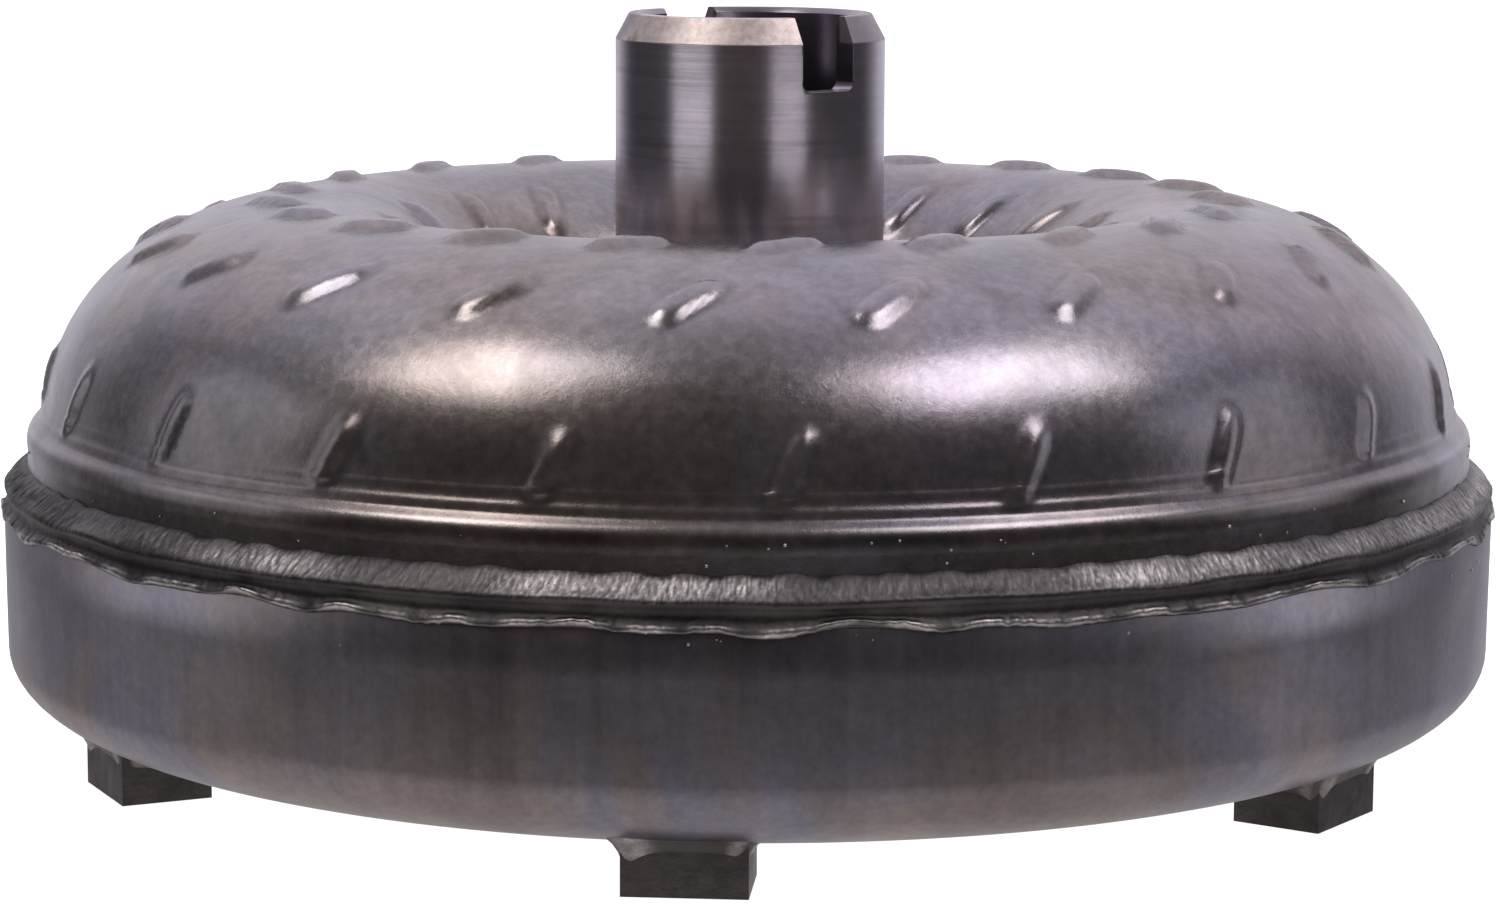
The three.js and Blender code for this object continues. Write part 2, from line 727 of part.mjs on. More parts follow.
let camRace = ring(camRaceInner, camRaceRadius, statorMiddle - camRaceHeight / 2,
  statorMiddle + camRaceHeight / 2, midRound)
let cage = ring(innerRaceRadius + 1.1, camRaceInner - 1, statorMiddle - rollerLength / 2 - 1.4,
  statorMiddle + rollerLength / 2 + 1.4, midRound)
for (let i = 0; i < rollerCount; i++) {
  const a = radians((360 * i) / rollerCount)
  const ramp = post(rollerRadius + 0.6, statorMiddle - camRaceHeight, statorMiddle + camRaceHeight,
    smallRound, (rollerCircle + 1) * Math.cos(a), (rollerCircle + 1) * Math.sin(a))
  camRace = camRace.subtract(ramp)
  const pocket = post(rollerRadius + touchGap, statorMiddle - rollerLength / 2 - touchGap,
    statorMiddle + rollerLength / 2 + touchGap, smallRound,
    rollerCircle * Math.cos(a), rollerCircle * Math.sin(a))
  cage = cage.subtract(pocket)
}
addPiece('clutch_cam_race', camRace, 'groundSteel')
addPiece('clutch_roller_cage', cage, 'cagePlastic')
const roller = post(rollerRadius, -rollerLength / 2, rollerLength / 2, smallRound)
for (let i = 0; i < rollerCount; i++) {
  const a = radians((360 * i) / rollerCount)
  const piece = addPiece(`clutch_roller_${i + 1}`, roller, 'groundSteel')
  piece.position.set(rollerCircle * Math.cos(a), rollerCircle * Math.sin(a), statorMiddle)
}
const plateReach = camRaceHeight / 2 + touchGap
const lowerPlate = ring(innerRaceRadius + runGap, camRaceRadius,
  statorMiddle - plateReach - clutchPlateThickness, statorMiddle - plateReach, midRound)
addPiece('clutch_end_plate_lower', lowerPlate, 'shellSteel')
const upperPlate = ring(innerRaceRadius + runGap, camRaceRadius,
  statorMiddle + plateReach, statorMiddle + plateReach + clutchPlateThickness, midRound)
addPiece('clutch_end_plate_upper', upperPlate, 'shellSteel')

// ---- Thrust bearings: two races with a needle cage between them
function addBearing(name, inner, outer, low) {
  const cageLow = low + raceThickness + touchGap
  const cageHigh = cageLow + cageThickness
  addPiece(`${name}_race_lower`, ring(inner, outer, low, low + raceThickness, raceRound),
    'groundSteel')
  let cageRing = ring(inner + 1, outer - 1, cageLow + 0.25, cageHigh - 0.25, raceRound)
  for (let i = 0; i < needleCount; i++) {
    const needle = new THREE.CylinderGeometry(
      cageThickness / 2, cageThickness / 2, outer - inner - 4, 6)
    needle.rotateZ(Math.PI / 2)
    needle.translate((inner + outer) / 2, 0, (cageLow + cageHigh) / 2)
    needle.rotateZ(radians((360 * i) / needleCount))
    cageRing = cageRing.add(solidFrom(needle))
  }
  addPiece(`${name}_needle_cage`, cageRing, 'springSteel')
  const top = cageHigh + touchGap
  addPiece(`${name}_race_upper`, ring(inner, outer, top, top + raceThickness, raceRound),
    'groundSteel')
}
addBearing('front_bearing', turbineHubBore + 1.5, turbineHubRadius - 0.5, frontBearing)
addBearing('middle_bearing', innerRaceBore + 1, innerRaceRadius, middleBearing)
addBearing('rear_bearing', hubBoreRadius + 0.5, hubFlangeRadius - 4, rearBearing)

export default converter
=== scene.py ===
import json
import math

import bmesh
import bpy
import numpy as np
from mathutils import Matrix, Vector


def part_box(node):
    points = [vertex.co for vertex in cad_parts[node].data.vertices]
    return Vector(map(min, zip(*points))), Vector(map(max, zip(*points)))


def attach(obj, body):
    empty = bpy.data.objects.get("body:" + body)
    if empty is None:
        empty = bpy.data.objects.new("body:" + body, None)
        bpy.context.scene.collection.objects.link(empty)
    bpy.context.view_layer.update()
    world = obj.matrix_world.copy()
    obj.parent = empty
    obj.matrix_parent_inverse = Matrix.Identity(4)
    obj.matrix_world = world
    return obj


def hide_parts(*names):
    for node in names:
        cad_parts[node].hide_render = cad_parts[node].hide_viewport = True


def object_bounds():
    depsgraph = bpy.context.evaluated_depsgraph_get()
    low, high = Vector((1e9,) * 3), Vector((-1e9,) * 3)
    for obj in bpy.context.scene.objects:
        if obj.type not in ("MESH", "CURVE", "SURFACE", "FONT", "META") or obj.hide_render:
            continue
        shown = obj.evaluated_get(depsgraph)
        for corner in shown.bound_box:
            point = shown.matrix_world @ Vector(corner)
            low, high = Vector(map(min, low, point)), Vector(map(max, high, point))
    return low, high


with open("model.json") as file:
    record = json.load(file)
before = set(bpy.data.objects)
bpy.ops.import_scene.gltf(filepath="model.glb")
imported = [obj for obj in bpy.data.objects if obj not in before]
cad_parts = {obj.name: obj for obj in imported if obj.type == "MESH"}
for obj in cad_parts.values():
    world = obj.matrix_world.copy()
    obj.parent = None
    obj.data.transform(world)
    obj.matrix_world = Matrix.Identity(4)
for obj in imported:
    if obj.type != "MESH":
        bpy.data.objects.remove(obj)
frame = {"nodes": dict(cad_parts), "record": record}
CAD_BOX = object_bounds()

MM = 0.001
SEGMENTS_AROUND = 360
TABS_PER_ROW = 21
FIRST_TAB_TURN = math.radians(-90)
POINTS_PER_TAB = 34
TAB_REACH = 14


# ---------------- mesh making

def mesh_from_arrays(name, points, faces, smooth=True, sharp_angle=None):
    """A mesh object from an (n, 3) array of points in metres and an (m, 4) array of corners.
    A corner of -1 in the last column makes a triangle."""
    triangles = faces[:, 3] < 0
    counts = np.where(triangles, 3, 4)
    corners = faces.reshape(-1)
    corners = corners[corners >= 0]
    mesh = bpy.data.meshes.new(name)
    mesh.vertices.add(len(points))
    mesh.vertices.foreach_set("co", points.astype(np.float32).ravel())
    mesh.loops.add(len(corners))
    mesh.loops.foreach_set("vertex_index", corners.astype(np.int32))
    mesh.polygons.add(len(faces))
    starts = np.concatenate([[0], np.cumsum(counts)[:-1]])
    mesh.polygons.foreach_set("loop_start", starts.astype(np.int32))
    mesh.polygons.foreach_set("loop_total", counts.astype(np.int32))
    mesh.update(calc_edges=True)
    mesh.polygons.foreach_set("use_smooth", np.full(len(faces), smooth))
    if sharp_angle is not None:
        mesh.set_sharp_from_angle(angle=math.radians(sharp_angle))
    return stand(name, mesh)


def stand(name, data):
    """A new object in the scene, for a mesh, a light or a camera."""
    thing = bpy.data.objects.new(name, data)
    bpy.context.scene.collection.objects.link(thing)
    return thing


def enclosed_volume(points, faces):
    a, b, c = (points[faces[:, k]] for k in range(3))
    volume = np.einsum("ij,ij->i", a, np.cross(b, c)).sum()
    quads = faces[:, 3] >= 0
    a, c, d = (points[faces[quads, k]] for k in (0, 2, 3))
    return volume + np.einsum("ij,ij->i", a, np.cross(c, d)).sum()


def ring_surface(name, grid, poles=None, sharp_angle=None):
    """A closed surface from rings of points: grid is (rings, around, 3) in millimetres.
    With poles, the first and last ring close on a point each. Without them, the last ring
    joins the first."""
    rings, around, _ = grid.shape
    points = grid.reshape(-1, 3)
    first = np.arange(rings - 1 if poles else rings)
    after = (first + 1) % rings
    j = np.arange(around)
    k = (j + 1) % around
    faces = np.stack([
        first[:, None] * around + j, first[:, None] * around + k,
        after[:, None] * around + k, after[:, None] * around + j,
    ], axis=-1).reshape(-1, 4)
    if poles:
        start, end = len(points), len(points) + 1
        points = np.vstack([points, poles])
        nothing = np.full(around, -1)
        last = (rings - 1) * around
        caps = np.vstack([
            np.stack([np.full(around, start), k, j, nothing], axis=-1),
            np.stack([np.full(around, end), last + j, last + k, nothing], axis=-1),
        ])
        faces = np.vstack([faces, caps])
    if enclosed_volume(points, faces) < 0:
        flipped = faces[:, ::-1].copy()
        triangles = faces[:, 3] < 0
        flipped[triangles] = faces[triangles][:, [2, 1, 0, 3]]
        faces = flipped
    return mesh_from_arrays(name, points * MM, faces, sharp_angle=sharp_angle)


def rounded_outline(corners, steps=5, closed=True):
    """Corners as (radius, height, fillet) in millimetres, with each fillet as an arc."""
    count = len(corners)
    outline = []
    for i, (r, z, fillet) in enumerate(corners):
        here = np.array([r, z])
        if fillet <= 0 or (not closed and i in (0, count - 1)):
            outline.append(here)
            continue
        before = np.array(corners[(i - 1) % count][:2]) - here
        after = np.array(corners[(i + 1) % count][:2]) - here
        lengths = np.linalg.norm(before), np.linalg.norm(after)
        before, after = before / lengths[0], after / lengths[1]
        half = math.acos(np.clip(before @ after, -1, 1)) / 2
        reach = min(fillet / math.tan(half), 0.49 * min(lengths))
        start, end = here + before * reach, here + after * reach
        for t in np.linspace(0, 1, steps + 1):
            outline.append((1 - t) ** 2 * start + 2 * t * (1 - t) * here + t ** 2 * end)
    return np.array(outline)


def spaced(outline, spacing, closed=True):
    """Adds points along the outline's straight runs, so that none is longer than spacing."""
    result = []
    count = len(outline)
    for i in range(count if closed else count - 1):
        a, b = outline[i], outline[(i + 1) % count]
        parts = max(1, int(math.ceil(np.linalg.norm(b - a) / spacing)))
        result.extend(a + (b - a) * t / parts for t in range(parts))
    if not closed:
        result.append(outline[-1])
    return np.array(result)


def smooth_line(points, steps=5):
    """A flowing curve through the points, with no flat runs between them."""
    points = np.asarray(points, float)
    ends = np.vstack([2 * points[0] - points[1], points, 2 * points[-1] - points[-2]])
    curve = []
    for i in range(len(points) - 1):
        a, b, c, d = ends[i:i + 4]
        for t in np.arange(steps) / steps:
            curve.append(0.5 * (2 * b + (c - a) * t + (2 * a - 5 * b + 4 * c - d) * t ** 2
                                + (3 * b - a - 3 * c + d) * t ** 3))
    return np.vstack([curve, points[-1:]])


def round_the_axis(r, z, turn):
    return np.stack([r * np.cos(turn), r * np.sin(turn), z], axis=-1)


def full_turn(around):
    return np.arange(around) * 2 * math.pi / around


def turned(outline, around=SEGMENTS_AROUND, lift=None):
    """The (rings, around, 3) grid of an outline turned about Z. lift(radius, height, turn)
    returns the changed radius and height, to make a surface uneven."""
    turn = full_turn(around)
    r = np.repeat(outline[:, :1], around, axis=1)
    z = np.repeat(outline[:, 1:2], around, axis=1)
    if lift:
        r, z = lift(r, z, turn[None, :])
    return round_the_axis(r, z, turn)


def turned_piece(name, corners, around=SEGMENTS_AROUND, steps=5, spacing=6.0, sharp_angle=40):
    outline = spaced(rounded_outline(corners, steps), spacing)
    return ring_surface(name, turned(outline, around), sharp_angle=sharp_angle)


def turned_solid(name, corners, around=SEGMENTS_AROUND, steps=5, spacing=6.0, sharp_angle=40):
    """Like turned_piece, for an outline that starts and ends on the axis."""
    outline = rounded_outline(corners, steps, closed=False)
    poles = [[0, 0, outline[0][1]], [0, 0, outline[-1][1]]]
    outline = spaced(outline, spacing, closed=False)[1:-1]
    return ring_surface(name, turned(outline, around), poles, sharp_angle=sharp_angle)


def uneven(seed, turn, along, turns, waves, count=36):
    """A smooth random field that closes on itself around the axis: a sum of waves, each with a
    whole number of turns."""
    draw = np.random.default_rng(seed)
    field = np.zeros(np.broadcast(turn, along).shape)
    for _ in range(count):
        k = draw.integers(turns[0], turns[1] + 1)
        m = draw.uniform(-waves, waves)
        field += np.cos(k * turn + m * along + draw.uniform(0, 2 * math.pi))
    return field / math.sqrt(count / 2)


def store(piece, name, values):
    attribute = piece.data.attributes.new(name, "FLOAT", "POINT")
    attribute.data.foreach_set("value", values.astype(np.float32).ravel())


# ---------------- measured heights

def low_mm(node):
    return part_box(node)[0].z / MM


def high_mm(node):
    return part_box(node)[1].z / MM


def side_mm(node):
    """The outer radius of a round node."""
    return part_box(node)[1].x / MM


COVER_FACE = low_mm("front_cover")
COVER_SIDE = side_mm("front_cover") - 0.3
COVER_CORNER_REACH = 20.2
COVER_CORNER_RISE = 12.5
SKIRT_LOW = low_mm("impeller_shell")
CROWN = high_mm("impeller_shell")
SKIRT_SIDE = side_mm("impeller_shell")
DOME_HEIGHT = 37
TORUS_PLANE = CROWN - DOME_HEIGHT
CROWN_RADIUS = 80
TORUS_INNER_RADIUS = 45
DOME_SIDE = SKIRT_SIDE - 3.3
DOME_REACH = DOME_SIDE - CROWN_RADIUS
DOME_INNER_REACH = CROWN_RADIUS - TORUS_INNER_RADIUS
SHELL_WALL = 3
SHELL_SEAT = TORUS_PLANE + 17.5
HUB_FLANGE_LOW = low_mm("impeller_hub")
HUB_END = high_mm("impeller_hub")
HUB_FLANGE_RADIUS = side_mm("impeller_hub")
HUB_RADIUS = HUB_FLANGE_RADIUS - 10.2
HUB_BORE = HUB_RADIUS - 4.8
WELD_HIGH = high_mm("closing_weld")
HUB_WELD_RIPPLES = 96


# ---------------- materials

class Finish:
    """A procedural material whose nodes are written one call at a time."""

    def __init__(self, name):
        self.material = bpy.data.materials.new(name)
        self.material.use_nodes = True
        self.tree = self.material.node_tree
        self.shader = self.tree.nodes["Principled BSDF"]
        self.place = self.tree.nodes.new("ShaderNodeTexCoord").outputs["Object"]

    def put(self, kind, inputs=(), **settings):
        node = self.tree.nodes.new(kind)
        for key, value in settings.items():
            setattr(node, key, value)
        for key, value in dict(inputs).items():
            self.give(node.inputs[key], value)
        return node

    def give(self, socket, value):
        if isinstance(value, bpy.types.NodeSocket):
            self.tree.links.new(value, socket)
        else:
            socket.default_value = value

    def stretched(self, scale):
        return self.put("ShaderNodeMapping", {"Vector": self.place, "Scale": scale}).outputs[0]

    def noise(self, scale, detail=4, roughness=0.55, place=None, distortion=0.0):
        return self.put("ShaderNodeTexNoise", {
            "Vector": place or self.place, "Scale": scale, "Detail": detail,
            "Roughness": roughness, "Distortion": distortion}).outputs["Fac"]

    def ramp(self, factor, stops, colours=True):
        node = self.put("ShaderNodeValToRGB", {"Fac": factor})
        elements = node.color_ramp.elements
        while len(elements) < len(stops):
            elements.new(0.5)
        for element, (position, value) in zip(elements, stops):
            element.position = position
            element.color = (*value, 1) if colours else (value, value, value, 1)
        return node.outputs["Color"]

    def blend(self, factor, a, b, mode="MIX"):
        node = self.put("ShaderNodeMix", data_type="RGBA", blend_type=mode)
        self.give(node.inputs[0], factor)
        self.give(node.inputs[6], a if isinstance(a, bpy.types.NodeSocket) else (*a, 1))
        self.give(node.inputs[7], b if isinstance(b, bpy.types.NodeSocket) else (*b, 1))
        return node.outputs[2]

    def maths(self, operation, a, b=0.0, clamp=False):
        node = self.put("ShaderNodeMath", operation=operation, use_clamp=clamp)
        self.give(node.inputs[0], a)
        self.give(node.inputs[1], b)
        return node.outputs[0]

    def stretch_range(self, value, low, high, to_low=0.0, to_high=1.0):
        return self.put("ShaderNodeMapRange", {
            0: value, 1: low, 2: high, 3: to_low, 4: to_high}).outputs[0]

    def toned(self, tint, pattern, dark, light, low=0.3, high=0.7):
        """The tint, darker and lighter with a pattern."""
        return self.blend(1.0, tint, self.stretch_range(pattern, low, high, dark, light),
                          "MULTIPLY")

    def washed(self, tint, pattern, strength, colour):
        """The tint, with a thin wash of another colour where the pattern is."""
        return self.blend(self.maths("MULTIPLY", pattern, strength), tint, colour)

    def height(self):
        return self.put("ShaderNodeSeparateXYZ", {0: self.place}).outputs[2]

    def kept(self, name):
        return self.put("ShaderNodeAttribute", attribute_name=name).outputs["Fac"]

    def bump(self, height, distance, strength=1.0, before=None):
        inputs = {"Height": height, "Distance": distance, "Strength": strength}
        if before:
            inputs["Normal"] = before
        return self.put("ShaderNodeBump", inputs).outputs[0]

    def finish(self, colour, roughness, normal=None, metallic=1.0):
        self.give(self.shader.inputs["Base Color"], colour)
        self.give(self.shader.inputs["Roughness"], roughness)
        self.shader.inputs["Metallic"].default_value = metallic
        if normal:
            self.give(self.shader.inputs["Normal"], normal)
        return self.material


def shell_steel():
    """Pressed steel with heat tints: brown, violet and blue-grey clouds over a satin grain,
    with painted shade towards the weld and round the tabs' feet, and painted highlights on the lip."""
    f = Finish("shell_steel")
    clouds = f.noise(14, 3, 0.5, distortion=0.6)
    tint = f.ramp(clouds, [
        (0.30, (0.300, 0.250, 0.232)), (0.44, (0.370, 0.325, 0.312)),
        (0.55, (0.345, 0.325, 0.350)), (0.70, (0.430, 0.380, 0.355))])
    violet = f.stretch_range(f.noise(9, 2, 0.5, f.stretched((1, 1.3, 0.8))), 0.52, 0.7)
    tint = f.washed(tint, violet, 0.5, (0.32, 0.28, 0.37))
    height = f.height()
    height = f.maths("ADD", height, f.stretch_range(f.noise(30, 4, 0.6), 0.2, 0.8, -0.004, 0.004))
    # painted shade: the dome darker towards its foot, and the skirt darker still beside the weld
    tint = f.blend(f.stretch_range(height, 0.056, 0.082, 0.48, 0.0), tint, (0.125, 0.100, 0.084))
    tint = f.blend(f.stretch_range(height, 0.0585, 0.0555, 0.0, 0.75), tint, (0.06, 0.053, 0.05))
    speckle = f.noise(520, 4, 0.6)
    tint = f.toned(tint, speckle, 0.84, 1.14)
    patina = f.noise(62, 7, 0.68, distortion=0.7)
    tint = f.toned(tint, patina, 0.78, 1.16, 0.32, 0.68)
    blots = f.stretch_range(f.noise(95, 4, 0.6), 0.58, 0.72)
    tint = f.washed(tint, blots, 0.22, (0.12, 0.10, 0.09))
    blue = f.stretch_range(f.noise(26, 4, 0.6, f.stretched((1, 1, 2.2))), 0.56, 0.72)
    tint = f.washed(tint, blue, 0.30, (0.25, 0.28, 0.38))
    # painted shade round the foot of each tab, from the stored ring
    tint = f.washed(tint, f.kept("foot"), 0.30, (0.10, 0.09, 0.09))
    # painted highlight: two bright lines along the rolled lip
    patches = f.stretch_range(f.noise(20, 4), 0.35, 0.65, 0.4, 1)
    painted_highlight = f.maths("MULTIPLY", f.kept("worn"), patches)
    tint = f.blend(f.maths("MULTIPLY", painted_highlight, 0.32, True), tint, (0.85, 0.79, 0.77))
    rough = f.stretch_range(patina, 0.3, 0.7, 0.29, 0.23)
    rough = f.maths("ADD", rough, f.stretch_range(speckle, 0.3, 0.7, -0.02, 0.03))
    normal = f.bump(f.noise(1100, 4, 0.75), 0.00005, 0.55)
    normal = f.bump(f.noise(40, 2, 0.5), 0.0006, 0.10, normal)
    return f.finish(tint, rough, normal)


def cover_steel():
    """Rolled steel wall with fine upright brushing, brown and blue-violet heat tints, and a
    darker band of painted shade beside the weld."""
    f = Finish("cover_steel")
    clouds = f.noise(16, 4, 0.6, f.stretched((1, 1, 0.7)), 0.6)
    tint = f.ramp(clouds, [
        (0.30, (0.245, 0.205, 0.215)), (0.44, (0.300, 0.262, 0.255)),
        (0.55, (0.262, 0.258, 0.320)), (0.70, (0.370, 0.310, 0.300))])
    height = f.height()
    height = f.maths("ADD", height, f.stretch_range(f.noise(22, 4, 0.6), 0.2, 0.8, -0.006, 0.006))
    # painted shade: the wall darker towards the weld at its top
    tint = f.blend(f.stretch_range(height, 0.010, 0.036, 0.0, 0.62), tint, (0.105, 0.100, 0.110))
    brushed = f.noise(300, 4, 0.7, f.stretched((1, 1, 0.05)))
    streaks = f.noise(90, 3, 0.6, f.stretched((1, 1, 0.03)))
    tint = f.toned(tint, brushed, 0.91, 1.08)
    tint = f.toned(tint, streaks, 0.93, 1.07)
    patina = f.noise(48, 7, 0.68, distortion=0.6)
    tint = f.toned(tint, patina, 0.82, 1.14, 0.32, 0.68)
    grit = f.noise(650, 4, 0.65)
    tint = f.toned(tint, grit, 0.88, 1.10)
    rust = f.stretch_range(f.noise(38, 5, 0.65), 0.58, 0.76)
    tint = f.washed(tint, rust, 0.30, (0.22, 0.15, 0.13))
    rough = f.stretch_range(f.noise(30, 4, 0.6), 0.3, 0.7, 0.38, 0.45)
    rough = f.maths("ADD", rough, f.stretch_range(brushed, 0.3, 0.7, -0.02, 0.02))
    normal = f.bump(brushed, 0.00006, 0.14)
    normal = f.bump(grit, 0.00006, 0.25, normal)
    normal = f.bump(f.noise(35, 3, 0.5), 0.0008, 0.15, normal)
    return f.finish(tint, rough, normal)


def ground_steel():
    """Ground steel of the hub: fine turning marks around it, faint scratches low down, and a
    rougher, warmer chamfer with a brown stain and a painted highlight on its front side."""
    f = Finish("ground_steel")
    marks = f.noise(1100, 3, 0.6, f.stretched((0.02, 0.02, 1)))
    scuffs = f.noise(420, 4, 0.6, f.stretched((0.05, 0.05, 1)), 0.3)
    tint = f.ramp(f.noise(16, 3), [
        (0.35, (0.335, 0.310, 0.350)), (0.6, (0.42, 0.38, 0.42))])
    tint = f.toned(tint, marks, 0.93, 1.06)
    scratch = f.maths("MULTIPLY", f.stretch_range(scuffs, 0.54, 0.66),
                      f.stretch_range(f.noise(34, 4), 0.40, 0.58))
    tint = f.washed(tint, scratch, 0.45, (0.13, 0.115, 0.12))
    tint = f.toned(tint, f.noise(130, 6, 0.7), 0.90, 1.08)
    height = f.height()
    flat_place = f.stretched((1, 1, 0))
    radius = f.put("ShaderNodeVectorMath", {0: flat_place}, operation="LENGTH").outputs["Value"]
    outside = f.stretch_range(radius, (HUB_BORE + 0.8) * MM, (HUB_BORE + 1.1) * MM)
    chamfer = f.stretch_range(height, (HUB_END - 4.7) * MM, (HUB_END - 4.4) * MM)
    chamfer = f.maths("MULTIPLY", chamfer, outside)
    # painted highlight: the chamfer's side facing -Y gets a near-white colour
    towards = f.put("ShaderNodeVectorMath", {0: f.place, 1: (-0.22, -0.975, 0)},
                    operation="DOT_PRODUCT").outputs["Value"]
    painted_chamfer_highlight = f.stretch_range(towards, 0.0125, 0.0165, 0.15, 1.0)
    grit = f.noise(650, 4, 0.7)
    rim = f.ramp(grit, [(0.35, (0.72, 0.61, 0.58)), (0.65, (0.97, 0.87, 0.84))])
    tint = f.blend(f.maths("MULTIPLY", chamfer, painted_chamfer_highlight), tint, rim)
    stain = f.maths("MULTIPLY", f.stretch_range(f.noise(110, 4, 0.7), 0.58, 0.70), chamfer)
    tint = f.washed(tint, stain, 0.55, (0.34, 0.20, 0.07))
    rough = f.stretch_range(f.noise(60, 4), 0.3, 0.7, 0.20, 0.27)
    rough = f.maths("ADD", rough, f.maths("MULTIPLY", chamfer, 0.24))
    normal = f.bump(marks, 0.00005, 0.25)
    normal = f.bump(scuffs, 0.00005, 0.10, normal)
    return f.finish(tint, rough, normal)


def weld_steel():
    """Weld metal: dark in its hollows, with painted highlights and sparkle on the ridges."""
    f = Finish("weld_steel")
    ridge = f.kept("ridge")
    grain = f.noise(500, 4, 0.6)
    dark = f.ramp(f.noise(55, 4, 0.6), [
        (0.35, (0.060, 0.056, 0.058)), (0.65, (0.12, 0.11, 0.11))])
    bright = f.ramp(f.noise(120, 4, 0.6), [
        (0.35, (0.66, 0.61, 0.60)), (0.65, (1.0, 0.94, 0.93))])
    flow = f.noise(520, 4, 0.7, f.stretched((0.16, 0.16, 1)))
    bright = f.toned(bright, flow, 0.55, 1.25, 0.32, 0.66)
    # painted sparkle in the highlight colour; the same noise is also a bump
    grain_and_sparkle = f.noise(1300, 5, 0.8)
    bright = f.toned(bright, grain_and_sparkle, 0.65, 1.3, 0.36, 0.64)
    # painted highlight where the stored weld mask is high, dark weld metal elsewhere
    tint = f.blend(ridge, dark, bright)
    tint = f.toned(tint, grain, 0.8, 1.15)
    rough = f.maths("SUBTRACT", f.stretch_range(grain, 0.3, 0.7, 0.40, 0.56),
                    f.maths("MULTIPLY", ridge, 0.12))
    normal = f.bump(grain, 0.0002, 0.5)
    normal = f.bump(grain_and_sparkle, 0.00012, 0.5, normal)
    return f.finish(tint, rough, normal)


def lug_steel():
    """Dull scaled steel of the drive lugs."""
    f = Finish("lug_steel")
    tint = f.ramp(f.noise(70, 5, 0.65), [
        (0.3, (0.085, 0.078, 0.075)), (0.5, (0.14, 0.13, 0.125)), (0.7, (0.20, 0.18, 0.165))])
    rust = f.stretch_range(f.noise(45, 4, 0.6), 0.6, 0.75)
    tint = f.washed(tint, rust, 0.4, (0.16, 0.095, 0.065))
    rough = f.stretch_range(f.noise(120, 4), 0.3, 0.7, 0.42, 0.62)
    normal = f.bump(f.noise(260, 5, 0.65), 0.0004, 0.5)
    return f.finish(tint, rough, normal)


def plain_steel(name, low, high, roughness, scale=60):
    f = Finish(name)
    grain = f.noise(scale * 8, 4, 0.6)
    tint = f.ramp(f.noise(scale, 4), [(0.35, low), (0.65, high)])
    tint = f.toned(tint, grain, 0.9, 1.08)
    rough = f.stretch_range(f.noise(scale * 2, 4), 0.3, 0.7, roughness - 0.05, roughness + 0.07)
    return f.finish(tint, rough, f.bump(grain, 0.0001, 0.4))


def cast_aluminium():
    f = Finish("cast_aluminium")
    pits = f.noise(700, 5, 0.7)
    tint = f.ramp(f.noise(50, 4), [(0.35, (0.52, 0.53, 0.54)), (0.65, (0.66, 0.67, 0.68))])
    return f.finish(tint, f.stretch_range(pits, 0.3, 0.7, 0.42, 0.6), f.bump(pits, 0.0003, 0.5))


def friction_paper():
    f = Finish("friction_paper")
    fibres = f.noise(900, 6, 0.75, distortion=1.2)
    tint = f.ramp(fibres, [(0.3, (0.16, 0.10, 0.06)), (0.7, (0.34, 0.23, 0.15))])
    return f.finish(tint, f.stretch_range(fibres, 0.3, 0.7, 0.8, 0.95),
                    f.bump(fibres, 0.0003, 0.7), metallic=0.0)


def dark_plastic():
    f = Finish("dark_plastic")
    grain = f.noise(600, 4, 0.6)
    tint = f.ramp(f.noise(80, 3), [(0.35, (0.03, 0.028, 0.026)), (0.65, (0.06, 0.055, 0.05))])
    return f.finish(tint, f.stretch_range(grain, 0.3, 0.7, 0.4, 0.55),
                    f.bump(grain, 0.0001, 0.4), metallic=0.0)


FINISHES = {
    "cover_steel": cover_steel(),
    "shell_steel": shell_steel(),
    "ground_steel": ground_steel(),
    "weld_steel": weld_steel(),
    "lug_steel": lug_steel(),
    "pressed_steel": plain_steel("pressed_steel", (0.30, 0.30, 0.31), (0.42, 0.41, 0.41), 0.34),
    "blade_steel": plain_steel("blade_steel", (0.36, 0.36, 0.37), (0.50, 0.50, 0.50), 0.36),
    "spring_steel": plain_steel("spring_steel", (0.16, 0.17, 0.20), (0.24, 0.25, 0.28), 0.30),
    "cast_aluminium": cast_aluminium(),
    "friction_paper": friction_paper(),
    "dark_plastic": dark_plastic(),
}


def place_piece(piece, finish, body, *nodes):
    """Gives a finished piece its material, its body and the nodes that it stands for."""
    piece.data.materials.clear()
    piece.data.materials.append(FINISHES[finish])
    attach(piece, body)
    if nodes:
        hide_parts(*nodes)


# ---------------- impeller shell

def dome_arc(outer, inner, height, start, end, spacing):
    """Half ellipses that meet at the crown, from the outer side in, with even spacing."""
    angles = np.radians(np.linspace(start, end, 2000))
    reach = np.where(np.cos(angles) > 0, outer, inner)
    curve = np.stack([
        CROWN_RADIUS + reach * np.cos(angles), TORUS_PLANE + height * np.sin(angles)], axis=-1)
    run = np.concatenate([[0], np.cumsum(np.linalg.norm(np.diff(curve, axis=0), axis=1))])
    count = int(run[-1] / spacing) + 1
    stops = np.linspace(0, run[-1], count)
    return np.stack([np.interp(stops, run, curve[:, 0]), np.interp(stops, run, curve[:, 1])], -1)


